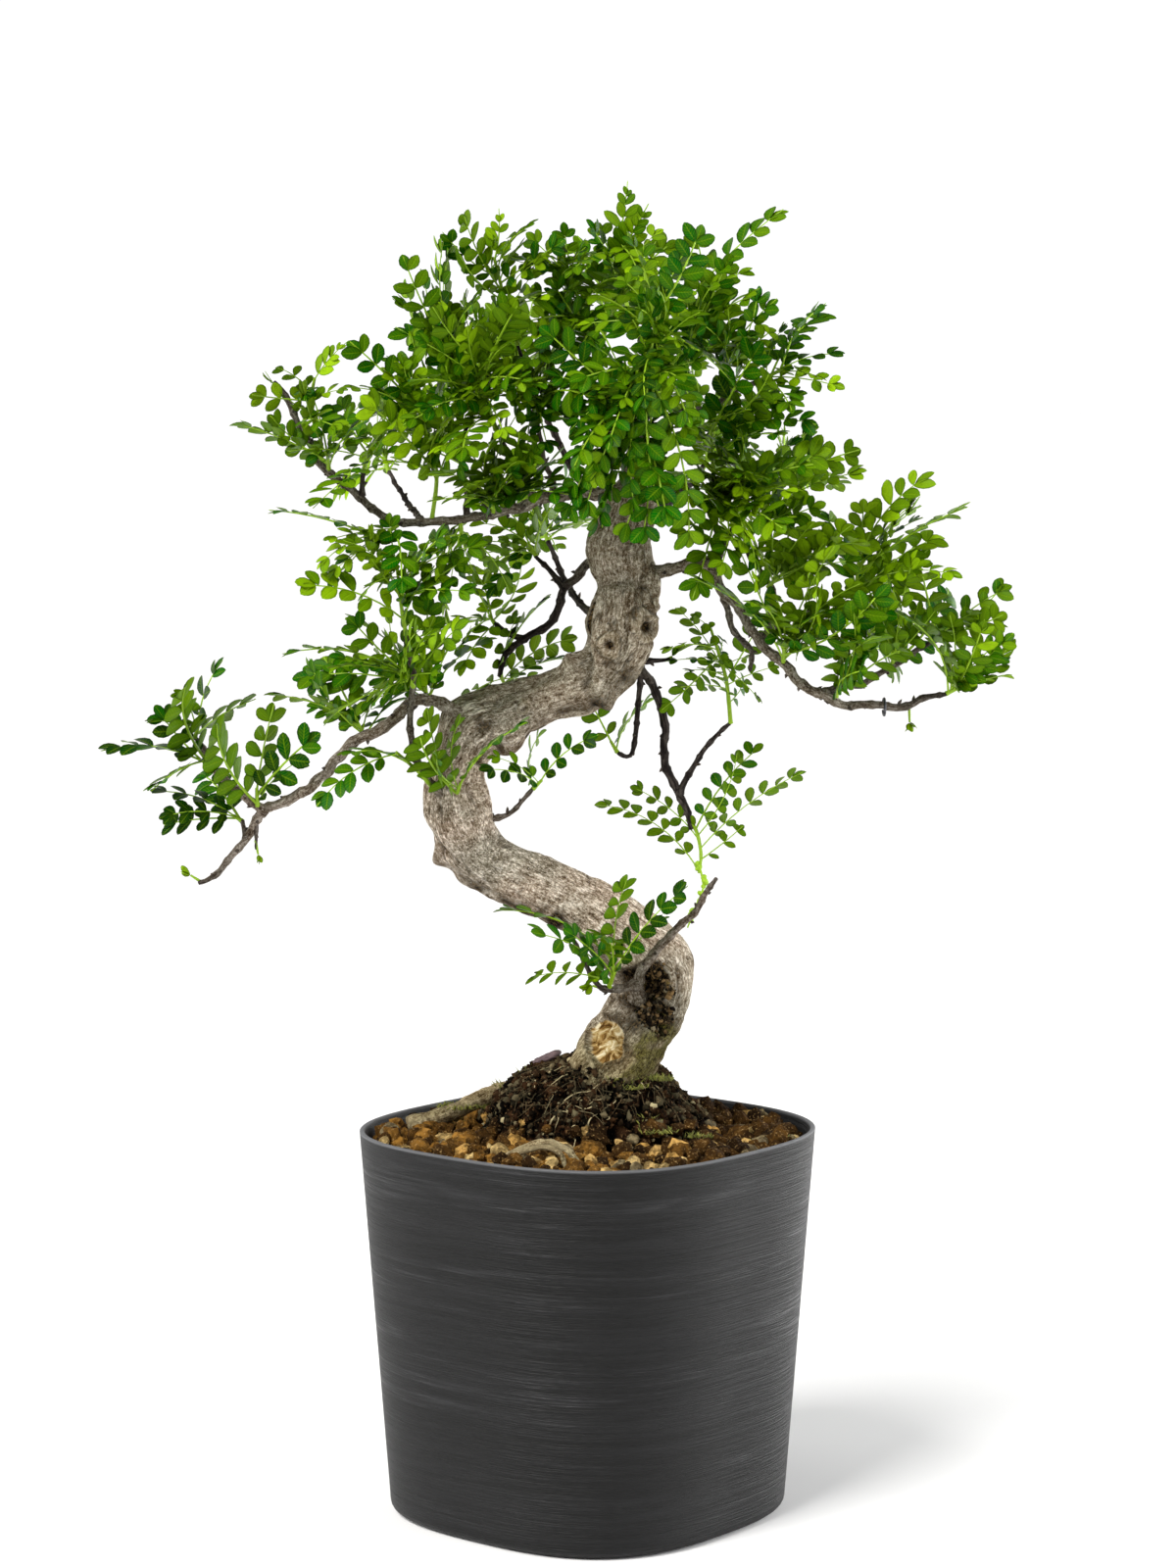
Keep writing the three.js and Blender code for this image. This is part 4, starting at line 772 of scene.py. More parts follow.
# each stretch of wood from where it leaves its parent: x, y, z and radius
routes = {
    "trunk": [[1, 3, 137, 19.5], [3, 3, 161, 22.5], [6, 2, 178, 24], [10, 0, 193, 22], [20, 2, 208, 18.5],
        [28, 4, 222, 17], [29, 4, 238, 17], [16, 0, 254, 16], [-3, -2, 268, 13.5], [-26, -2, 279, 13],
        [-47, 0, 290, 13.5], [-57, -2, 308, 14], [-58, -2, 326, 12], [-50, 2, 345, 12.5], [-35, 6, 352, 13],
        [-17, 8, 359, 11.5], [1, 6, 367, 12.5], [12, 0, 381, 14], [14, -2, 397, 14], [15, 0, 409, 12.5],
        [14, 0, 422, 13.5], [16, 0, 435, 12.5], [22, 0, 448, 11], [29, 0, 458, 9.5]],
    "leftArm": [[17, 0, 448, 3.8], [-2, -2, 448, 3], [-20, -5, 446, 2.8], [-34, -8, 441, 2.8],
        [-49, -11, 438, 2.3], [-67, -14, 437, 2.1], [-81, -16, 436, 2], [-92, -17, 441, 2],
        [-98, -18, 448, 2], [-110, -17, 457, 2.1], [-120, -15, 470, 1.9], [-129, -12, 489, 1.5],
        [-135, -11, 496, 1]],
    "leftArmRise": [[-15, -5, 448, 1.5], [-16, -6, 455, 1.4], [-19, -8, 462, 1.3], [-21, -10, 475, 1.2],
        [-25, -13, 494, 1.1], [-30, -15, 512, 0.8]],
    "leftArmFront": [[-23, -6, 446, 1.7], [-28, -12, 455, 1.5], [-34, -24, 466, 1.3], [-39, -33, 476, 1]],
    "leftArmBack": [[-43, -10, 439, 1.7], [-46, -7, 447, 1.5], [-52, -2, 458, 1.3], [-58, 2, 466, 1.1],
        [-61, 4, 477, 0.9]],
    "leftArmTwig": [[-52, -11, 438, 1.4], [-53, -14, 454, 1.2], [-54, -16, 470, 1.1], [-50, -16, 482, 1]],
    "leftArmOuter": [[-97, -18, 448, 1.3], [-96, -20, 458, 1]],
    "leftArmRear": [[-72, -14, 437, 1.5], [-79, 14, 444, 1.3], [-88, 38, 456, 1]],
    "lowArm": [[-46, 0, 348, 4.5], [-55, -4, 352, 3.6], [-68, -8, 359, 3], [-76, -11, 358, 3],
        [-88, -15, 348, 3], [-104, -19, 339, 2.7], [-118, -23, 324, 2.6], [-130, -25, 317, 2.5],
        [-140, -26, 312, 2.3], [-148, -27, 300, 1.9], [-161, -28, 285, 1.5], [-168, -28, 282, 0.9]],
    "lowArmFork": [[-138, -26, 312, 2.1], [-149, -29, 320, 1.9], [-158, -32, 329, 1.8],
        [-164, -34, 339, 1.5], [-168, -35, 345, 1]],
    "lowArmSpur": [[-147, -27, 301, 1.3], [-149, -24, 308, 0.9]],
    "frontTwig": [[-59, -4, 313, 3], [-65, -14, 320, 2.1], [-71, -20, 329, 1.8], [-76, -23, 343, 1.7],
        [-76, -23, 357, 1.6], [-75, -22, 370, 1.5], [-78, -22, 388, 1.2]],
    "rearLeft": [[11, 2, 425, 3.4], [2, 10, 419, 2.6], [-10, 18, 406, 2.2], [-18, 24, 389, 2.1],
        [-26, 27, 385, 1.8], [-36, 31, 376, 1.7], [-39, 34, 366, 1.3]],
    "rearLeftUpper": [[-10, 18, 405, 1.5], [-17, 22, 414, 1.3], [-23, 26, 420, 1]],
    "rearLeftLower": [[-29, 28, 383, 1.4], [-36, 32, 386, 1.2], [-41, 36, 389, 1]],
    "rightArm": [[19, 0, 411, 4.5], [28, -1, 413, 3.6], [36, -4, 415, 3], [50, -8, 418, 2.8],
        [58, -12, 407, 2.7], [68, -15, 394, 2.6], [76, -17, 383, 2.5], [85, -18, 374, 2.5],
        [92, -17, 366, 2.5], [100, -15, 362, 2.4], [112, -12, 357, 2.2], [127, -8, 357, 2],
        [137, -5, 356, 1.9], [147, -2, 360, 1.6], [156, 2, 361, 1.1]],
    "rightArmFork": [[100, -15, 362, 1.9], [110, -10, 365, 1.8], [120, -4, 366, 1.7], [132, 3, 372, 1.6],
        [144, 9, 380, 1.4], [153, 14, 384, 1]],
    "rightArmInner": [[74, -16, 386, 1.9], [87, -6, 394, 1.6], [99, 4, 397, 1.4], [115, 14, 394, 1.1]],
    "rightArmRise": [[76, -16, 385, 1.7], [79, -12, 397, 1.6], [80, -8, 406, 1.5], [74, -4, 416, 1.4],
        [69, 2, 425, 1.2], [72, 4, 432, 1]],
    "rightArmStub": [[58, -12, 407, 1.7], [63, -8, 389, 1.5], [71, -8, 381, 1.4], [70, -8, 372, 1]],
    "rightArmMast": [[47, -8, 417, 1.9], [57, -10, 422, 1.7], [55, -12, 435, 1.5], [53, -13, 446, 1.4],
        [54, -14, 457, 1.1]],
    "rightArmRear": [[50, -8, 418, 1.9], [58, 12, 424, 1.7], [70, 36, 439, 1.5], [82, 56, 448, 1.1]],
    "rightArmBack": [[104, -14, 360, 1.7], [115, 18, 366, 1.4], [124, 42, 378, 1]],
    "hanging": [[15, 4, 380, 3], [22, 14, 372, 2.4], [29, 20, 363, 2.2], [33, 24, 351, 2.1],
        [34, 26, 337, 2], [34, 27, 326, 2.1], [39, 28, 317, 2], [44, 28, 306, 1.6], [46, 27, 299, 1.1]],
    "hangingHook": [[23, 15, 371, 1.6], [23, 20, 362, 1.4], [22, 24, 349, 1.4], [19, 26, 332, 1.2],
        [13, 26, 333, 0.9]],
    "hangingRise": [[40, 28, 314, 1.6], [48, 26, 329, 1.4], [55, 25, 339, 1.2], [63, 24, 346, 1]],
    "footTwig": [[22, -6, 228, 3.2], [23, -16, 242, 2.5], [34, -24, 257, 2.1], [44, -28, 266, 1.8],
        [50, -30, 276, 1.5], [55, -31, 284, 1]],
    "footTwigLeft": [[21, -13, 235, 2.1], [8, -20, 234, 1.6], [3, -21, 238, 1.4], [-4, -18, 251, 1.1],
        [-7, -17, 257, 0.7]],
    "bendTwig": [[-49, -4, 305, 1.9], [-40, -5, 307, 1.5], [-32, -6, 311, 1.2], [-24, -6, 320, 1]],
    "leader": [[23, 2, 453, 3.9], [17, 2, 459, 2.8], [12, 2, 469, 2.2], [7, 0, 477, 2], [6, -2, 492, 1.8],
        [5, -2, 508, 1.5]],
    "crownRight": [[26, 0, 454, 3.2], [30, -4, 469, 2.1], [36, -6, 482, 1.9], [52, -10, 485, 1.7],
        [62, -12, 492, 1.6], [74, -12, 497, 1.3]],
    "crownFront": [[22, -6, 448, 2.8], [18, -22, 460, 2.1], [18, -32, 469, 1.8]],
    "crownRear": [[25, 8, 449, 3.2], [22, 32, 468, 2.4], [27, 52, 490, 1.9], [24, 66, 512, 1.3],
        [18, 72, 527, 1]],
    "crownRearLeft": [[0, -2, 448, 1.9], [-9, 24, 462, 1.7], [-19, 44, 481, 1.4], [-30, 58, 497, 1.1]],
    "crownRearLow": [[17, 6, 432, 3], [30, 40, 440, 2.2], [44, 66, 448, 1.7], [53, 84, 459, 1.2]],
    "trunkRear": [[13, 8, 390, 3], [0, 44, 394, 2], [-11, 66, 408, 1.6], [-18, 78, 424, 1.1]],
    "rootLeft": [[0, 4, 172, 7], [-20, 18, 181, 5], [-38, 22, 182, 3.4], [-60, 14, 174, 3.2],
        [-79, 6, 170, 3]],
    "rootFront": [[0, 2, 150, 5], [-24, -30, 154, 2.4], [-44, -56, 160, 1.8], [-38, -62, 167, 1.6],
        [-19, -60, 174.5, 1.6], [-7, -64, 170, 1.5], [-3, -76, 164, 1.2]],
    "rootFine": [[-42, -58, 162, 1.2], [-34, -64, 169, 1.2], [-20, -63, 173, 1.1], [-12, -66, 171, 1.1],
        [-9, -75, 165, 0.9]],
}

# thin twigs that the solids leave out, as rows of the same kind
fineTwigs = {
    "lowArmSpike": [[-143, -26, 308, 1.1], [-143, -27, 301, 0.9], [-143, -27, 296, 0.5]],
    "hangingStub": [[20, 14, 374, 1.5], [28, 16, 374, 1.3], [36, 18, 375, 0.9]],
    "backSprig": [[-12, 8, 268, 1.4], [-16, 18, 276, 1.0], [-17, 21, 281, 0.7]],
}

# swollen places of the trunk: middle, reach and lift
swellings = [
    ((46, 0, 251), 15, 5), ((-15, 0, 199), 12, -3.6), ((37, 0, 198), 12, -4.2), ((-61, -2, 292), 4.2, 9.5),
    ((-70, 0, 302), 9, -3), ((-43, -2, 318), 8, 5), ((-8, 0, 375), 6, 5), ((5, -4, 357), 7, 3.5),
    ((-34, 2, 337), 8, 5), ((34, -1, 413), 9, 5), ((-56, 0, 352), 9, 4), ((26, -14, 391), 7, 3),
    ((9, -14, 382), 7, 3), ((37, -14, 234), 6, 2.4), ((30, -4, 405), 8, 2.5), ((1, -6, 352), 6, 1.5),
    ((-24, -9, 275), 9, 1.2), ((12, 10, 232), 10, 2),
]

# knots: middle, size and depth of the eye, and the rings of bark round it: distance, width and lift
knots = [
    ((9.6, -12, 383.2), 3.8, 2.4), ((24.6, -10, 391.2), 4.6, 2.0), ((-27.9, -10, 356), 2.8, 1.2),
    ((29, -17, 224), 3.6, 2.4), ((16, -12, 429), 2.4, 0.6), ((-39, -12, 289), 1.6, 0.8),
    ((-60, 12, 306), 3, 1.4), ((20, 14, 246), 3.4, 2), ((12, 13, 398), 3, 1.6),
]
knotRings = ((0.9, 0.3, 1.7), (1.35, 0.2, -0.6), (1.75, 0.3, 0.7))

# lines pressed in or raised across the front, through x and z: width, depth (raised where below 0) and share
# of painted shade in the crease
creases = [
    ([(1, 401), (0.2, 391), (-0.8, 384)], 1.3, 2.2, 0.8), ([(-3.6, 405), (-3.8, 390)], 1.8, -1.4, 0),
    ([(-0.8, 384), (0, 372), (-0.6, 362), (4, 354)], 2.8, 3.6, 0.34),
    ([(4.5, 382), (5, 372), (4.5, 362), (8, 355)], 3.0, -1.5, 0),
    ([(6, 379.5), (11.5, 374.5), (18.5, 375)], 0.9, 0.8, 0.5),
    ([(7, 375), (13, 370), (19, 371)], 0.9, 0.9, 0.5), ([(4, 370), (10, 365), (17, 366)], 0.9, 0.6, 0.4),
    ([(14, 244), (24, 245), (32, 240), (36.5, 230), (35, 216)], 1.7, -2.2, 0),
    ([(16, 237), (23, 238), (28, 235)], 2.2, 2.4, 0.9),
    ([(17.5, 233), (17, 220), (15, 206)], 1.6, 1.2, 0.35),
    ([(36, 229), (35, 219), (31, 208)], 1.5, 1.2, 0.35), ([(38, 242), (38.5, 225)], 1.5, 1.4, 0.5),
    ([(26, 245), (34, 235)], 1.5, -1.6, 0), ([(40, 236), (38, 212)], 1.3, 0.8, 0.3),
    ([(-66, 288), (-51, 280), (-34, 272), (-20, 262)], 1.6, 0.7, 0.35),
    ([(-27, 342), (-12, 345), (2, 351)], 1.2, 0.7, 0.7), ([(6, 223), (13, 229)], 1.4, 0.7, 0.3),
    ([(-2, 203), (3, 197)], 1.4, 0.8, 0.3), ([(24, 214), (22, 198)], 1.4, 0.8, 0.3),
    ([(4, 402), (12, 400), (22, 402)], 1.0, 0.5, 0.3), ([(5, 412), (14, 410), (24, 412)], 1.0, 0.5, 0.3),
    ([(6, 396), (13, 393)], 0.9, 0.6, 0.4), ([(8, 424), (17, 421), (25, 424)], 1.0, 0.6, 0.3),
    ([(19, 399), (26, 400)], 0.9, 0.6, 0.4),
]

# the pale oval scar at the foot, the dark hollow beside it (middle, reach, depth and reach of its dark: rot
# and painted shade), spots of painted shade about the hollow and low on the front (middle, reach and share)
# and mossy ones (middle and reach)
scar = {"x": 8.2, "z": 210.6, "wide": 7.7, "tall": 9.4, "sink": 1.4, "rim": 1.9}
hollows = [
    ((30.0, -16, 221.0), 4.6, 5.0, 7.5), ((26.5, -15, 233.0), 6.0, 6.0, 9.2),
]
shadeSpots = [
    ((20, -13, 238), 6, 1.0), ((27, -14, 239), 6.5, 1.0), ((35, -12, 217), 5, 0.6),
    ((18, -12, 229), 5, 0.85), ((21, -12, 218), 6, 0.55), ((29, -12, 210), 6, 0.35),
    ((-4, -12, 197), 7, 0.4), ((-14, -13, 263), 6, 0.8), ((-28, -13, 268), 6, 0.5),
]
mossy = [
    ((34, -8, 204), 9), ((28, -13, 210), 9), ((37, -8, 212), 6), ((16, -16, 194), 6), ((-10, -14, 192), 7),
    ((26, -14, 196), 8),
]
cutFace = {"rings": 9, "dome": 1.6, "peak": 1.8, "rough": 0.5}
rot = {"from": 0.36, "kept": 0.75, "least": 0.35, "more": 1.0}


# distance from points to the stretch between two places
def farFrom(points, start, end):
    start, way = np.array(start, float), np.array(end, float) - start
    t = np.clip((points - start) @ way / (way @ way), 0, 1)
    return np.linalg.norm(points - start - t[..., None] * way, axis=-1)


# distance from a spot on the bark, measured less strictly in depth
def spotAway(bare, at, strict=(1, 0.3, 1)):
    return np.linalg.norm((bare - at) * strict, axis=-1)


# bark of the trunk: flutes, swellings, lumps, ridges 1 - 2 |rough| and cracks where a grain crosses 0
def trunkRelief(bare, flow, radius, far):
    lift = radius * wood["flute"] * np.sin(3 * turnsOf(wood["trunkSides"]) + wood["twist"] * far)
    for at, reach, height in swellings:
        lift = lift + height * bell(np.linalg.norm(bare - at, axis=-1), reach)
    for wide, tall in wood["lumps"]:
        lift = lift + tall * grain(bare, wide, 3 + wide)
    lift = lift - 0.7 + wood["ridge"] * (1 - 2 * np.abs(rough(flow * (1, 1, 0.3), 9, 3, 11)))
    cracked = bell(grain(flow * (1, 1, 0.24), 2.6, 5), 0.2) * ease(grain(bare, 9, 9), -0.3, 0.5)
    return lift - wood["fissure"] * cracked, cracked


# knots: raised rings round an eye that is pressed in by a bell of d, in sizes of the knot, with painted
# shade in the eye and in the groove past the first ring
def pressKnots(bare, lift, stain):
    face, ragged = 0 * lift, 1 + 0.3 * grain(bare, 3, 2)
    for at, size, deep in knots:
        d, dark = spotAway(bare, at, (1, 0.3, 0.8)) / size * ragged, min(1, deep / 2)
        lift = lift + sum(tall * bell(d - away, wide) for away, wide, tall in knotRings)
        lift = lift - wood["eye"] * deep * bell(d, 0.45)
        stain = np.maximum(stain, np.maximum(dark * bell(d, 0.46), 0.5 * dark * bell(d - 1.32, 0.2)))
        face = np.maximum(face, 0.3 * bell(d - 0.92, 0.26))
    return lift, stain, face


# creases: pressed in by deep exp(-d^2), d the distance to the line seen from the front over its width, and
# darkened with painted shade
def pressCreases(bare, front, lift, stain):
    ragged = 1 + 0.3 * grain(bare, 4, 6)
    for line, wide, deep, dark in creases:
        places = [(x, 0, z) for x, z in line]
        d = np.min([farFrom(bare * (1, 0, 1), *ends) for ends in zip(places, places[1:])], axis=0)
        d = d / wide * ragged
        lift = lift - deep * front * bell(d)
        stain = np.maximum(stain, dark * front * bell(d, 0.9))
    return lift, stain


# hollows: pressed in by deep exp(-(d / reach)^2), crumbly and rotten inside, dark past their rim with rot
# and painted shade, and spots of painted shade about
def pressHollows(bare, lift, stain):
    rotten, crumbly = 0 * lift, 0.9 * grain(bare, 3.2, 14)
    for at, reach, deep, dark in hollows:
        d = spotAway(bare, at) * (1 + 0.35 * grain(bare, 4, 8))
        lift = lift - deep * bell(d, reach) + crumbly * bell(d, 12)
        stain = np.maximum(stain, bell(d, dark) * (0.9 + 0.3 * grain(bare, 3, 4)))
        rotten = np.maximum(rotten, bell(d, dark))
    for at, reach, share in shadeSpots:
        d = spotAway(bare, at) / reach * (1 + 0.35 * grain(bare, 3.4, 5))
        stain = np.maximum(stain, share * bell(d))
    return lift, stain, rotten


# scar: a sunk, crumbly oval of bare wood, hypot(x / wide, z / tall) < 1, inside a raised rim
def pressScar(bare, lift, stain):
    oval = np.hypot((bare[..., 0] - scar["x"]) / scar["wide"], (bare[..., 2] - scar["z"]) / scar["tall"])
    oval = np.where(bare[..., 1] < -4, oval, 9) + 0.15 * grain(bare, 5, 2)
    wound = 1 - ease(oval, 0.86, 1.02)
    lift = lift + scar["rim"] * bell(oval - 1.14, 0.14) - scar["sink"] * wound
    lift = lift + wound * (0.9 * grain(bare, 2.6, 6) + 0.6 * grain(bare * (1, 1, 0.4), 1.6, 7))
    return lift, np.maximum(stain * (1 - wound), 0.55 * bell(oval - 1.08, 0.13)), wound


# rotten crumbs that sit on some of the hollow's points
def strewRot(shell, places):
    places = places[draw(np.arange(len(places)), 2, 121) < rot["kept"]] - (0, 0.2, 0)
    n = np.arange(len(places))
    size, kind = rot["least"] + rot["more"] * draw(n, 3, 121) ** 3, draw(n, 4, 121)
    net = setLumps(places, size, 35, *mound["crumb"])
    stain, moss, face = 0.5 + 0.5 * kind, 0.45 * (kind > 0.8), 0.5 * (kind < 0.07)
    shell.put(net, stain=stain, moss=moss, face=face, flowX=9 * kind, flowZ=1.0 * n)


# trunk: centre + out (r + relief), d along it, closed at the top by a low dome of bare wood
def makeTrunk(shell):
    stops, far = evenStops(routes["trunk"], wood["trunkStep"])
    centre, radius, far = stops[:, None, :3], stops[:, 3:4], far[:, None]
    heading, side, over = wayFrames(stops[:, :3])
    out, a = circle(side, over, wood["trunkSides"]), turnsOf(wood["trunkSides"])
    bare = centre + out * radius[..., None]
    flow = np.stack([np.cos(a) * radius, np.sin(a) * radius, 0 * a + far], -1)
    lift, cracked = trunkRelief(bare, flow, radius, far)
    # painted shade: the underside past the foot and the cracks go into the stain mark and are darkened
    under = ease(-out[..., 2], 0.12, 0.75) * ease(far, 60, 80) * (0.75 + 0.5 * grain(bare, 4, 21))
    lift, stain, face = pressKnots(bare, lift, 0.5 * np.maximum(cracked, under))
    lift, stain = pressCreases(bare, ease(-out[..., 1], -0.1, 0.3), lift, stain)
    lift, stain, rotten = pressHollows(bare, lift, stain)
    lift, stain, wound = pressScar(bare, lift, stain)
    lift = lift + 1.2 * bell(bare[..., 2] - wood["flareHeight"], 9) * grain(bare, 7, 12)
    moss = np.clip(sum(bell(spotAway(bare, at), reach) for at, reach in mossy), 0, 1)
    rings = bare + out * lift[..., None]
    crown = rings[-1].mean(0)
    share = np.sqrt(np.linspace(1, 0, cutFace["rings"]))[1:-1, None, None]
    cap = crown + (rings[-1] - crown) * share
    dome = cutFace["dome"] * (1 - share**2) + cutFace["rough"] * rough(cap, 3)[..., None]
    cap = cap + heading[-1] * dome
    poles = np.array([centre[0, 0], crown + heading[-1] * cutFace["peak"]])
    more = ((0, len(cap)), (0, 0))
    face = np.pad(face * (1 - wound), more)
    face[len(stops) - 2 :] = np.array([0.4, 0.8] + [1] * len(cap))[:, None]
    values = (stain, wound, moss * (0.7 + 0.6 * grain(bare, 4, 19)), *np.moveaxis(flow, -1, 0))
    names = ("stain", "wound", "moss", *barkMarks[-3:])
    marks = {name: np.pad(value, more, "edge") for name, value in zip(names, values)}
    marks["flowZ"][len(stops) :] += 4 * (1 - share[:, 0])
    marks = {name: withPoles(value) for name, value in marks.items()}
    net = closedNets(np.concatenate([rings, cap])[None], poles[None])
    shell.put(net, face=withPoles(face, 0, 1), **marks)
    strewRot(shell, rings[rotten > rot["from"]])


# flow marks of a tube: radius cos a, radius sin a and how far along
def flowMarks(far, thick, seed=0):
    a = turnsOf(thick.shape[1])
    values = (thick * np.cos(a), thick * np.sin(a), far[:, None] + 31.7 * seed + 0 * thick)
    return {name: withPoles(value) for name, value in zip(barkMarks[-3:], values)}


# an arm: r (1 + nodes exp(-(distance to the next node / 1.1)^2) + collar exp(-d / (1.2 + 1.3 r)) + grain)
def makeArm(shell, rows, seed):
    stops, far = evenStops(rows, wood["armStep"])
    sides = wood["armSides"] if stops[0, 3] > wood["thinnest"] else wood["armSides"] - 3
    gap = wood["nodeGap"] * (0.8 + 0.4 * draw(seed, 1, 51))
    near = np.abs((far / gap + draw(seed, 2, 51)) % 1 - 0.5) * gap
    swell = wood["nodeSwell"] * np.clip(2.2 / stops[:, 3], 0.5, 1.6)
    flare = wood["collar"] * np.exp(-far / (1.2 + 1.3 * stops[0, 3]))
    radius = wood["slim"] * stops[:, 3] * (1 + swell * bell(near, 1.1) + flare)
    wander = 0.5 * np.stack([grain(stops[:, :3], 7, seed + k) for k in range(3)], -1)
    stops[:, :3] += wander * ease(far, 1, 8)[:, None] * np.clip(stops[:, 3:4], 0.6, 2.5)
    a, along = turnsOf(sides), far[:, None]
    spots = np.stack([along + 0 * a, 9 * np.cos(a) + 0 * along, 9 * np.sin(a) + 0 * along], -1)
    thick = radius[:, None] * (1 + 0.07 * grain(spots, 3, seed))
    darkTwigAndShade = 1.2 - stops[:, 3] / 3.7 + 0.15 * grain(stops[:, :3], 20, 4) + 0.35 * ease(stops[:, 1], 4, 20)
    darkTwigAndShade = withPoles(np.clip(darkTwigAndShade, 0, 1)[:, None] + 0 * thick)  # thin wood is darker in its own colour, and the rear darker by painted shade
    shell.put(tubeNet(stops, sides, thick), twig=darkTwigAndShade, **flowMarks(far, thick, seed))


# bud stubs beside the nodes: short cones set askew
def addKnobs(shell, rows, seed):
    stops, far = evenStops(rows, wood["nodeGap"] * 0.9)
    n = np.arange(1, len(stops) - 1)
    heading, side, over = wayFrames(stops[:, :3])
    a = tau * draw(n, seed, 53)
    out = side[n] * np.cos(a)[:, None] + over[n] * np.sin(a)[:, None]
    way = unit(out + 0.6 * heading[n])
    foot = stops[n, :3] + out * stops[n, 3:4] * 0.7
    long = (1.0 + 1.6 * draw(n, seed, 54) ** 2)[:, None]
    across = unit(np.cross(way, heading[n]))
    ring = circle(across, np.cross(way, across), 5) * np.clip(stops[n, 3], 0.5, 1.1)[:, None, None]
    rings = np.stack([foot[:, None] + ring * 0.8, (foot + way * long * 0.7)[:, None] + ring * 0.5], 1)
    poles = np.stack([foot - way * 0.4, foot + way * (long + 0.4)], 1)
    shell.put(closedNets(rings, poles), twig=0.9, flowZ=far[n] * 3)


# trunk as one piece, and all arms and twigs with their stubs as another
def makeWood():
    trunk, arms = Shell(*barkMarks), Shell(*barkMarks)
    makeTrunk(trunk)
    trunk.build("trunk", [look["bark"]], "bark", ["tree_wood"])
    for seed, (name, rows) in enumerate({**routes, **fineTwigs}.items()):
        if name != "trunk" and not name.startswith("root"):
            makeArm(arms, rows, seed)
            addKnobs(arms, rows, seed)
    arms.build("arms", [look["bark"]], "bark", ["tree_wood"])


# roots over the grains, with their share of moss, paleness and fullness
rootLooks = {"rootLeft": (0.5, 0.8, 1.2), "rootFront": (0.12, 1.0, 1.05), "rootFine": (0.1, 1.0, 1.05)}


# roots: fullness r (1 + two grains), mossy on top or bare in patches
def makeRoots():
    shell = Shell(*barkMarks)
    for name, (mossShare, pale, fullness) in rootLooks.items():
        stops, far = evenStops(routes[name], wood["rootStep"])
        heading, side, over = wayFrames(stops[:, :3])
        out = circle(side, over, wood["rootSides"])
        spots = stops[:, None, :3] + out * stops[:, 3:4, None]
        thick = fullness * stops[:, 3:4] * (1 + 0.22 * grain(spots, 7, 3) + 0.2 * grain(spots, 2.6, 4))
        moss = mossShare * ease(grain(spots, 9, 6), -0.6, 0.4) * ease(out[..., 2], -0.2, 0.7)
        face = pale * ease(grain(spots, 6, 7), -0.5, 0.3)
        marks = flowMarks(far, thick)
        marks.update(moss=withPoles(moss, 0, 0), face=withPoles(face, 0, 0), stain=0.15)
        shell.put(tubeNet(stops, wood["rootSides"], thick), **marks)
    shell.build("surfaceRoots", [look["bark"]], "bark", ["tree_wood"])


makeWood()
makeRoots()
print("stage: wood")

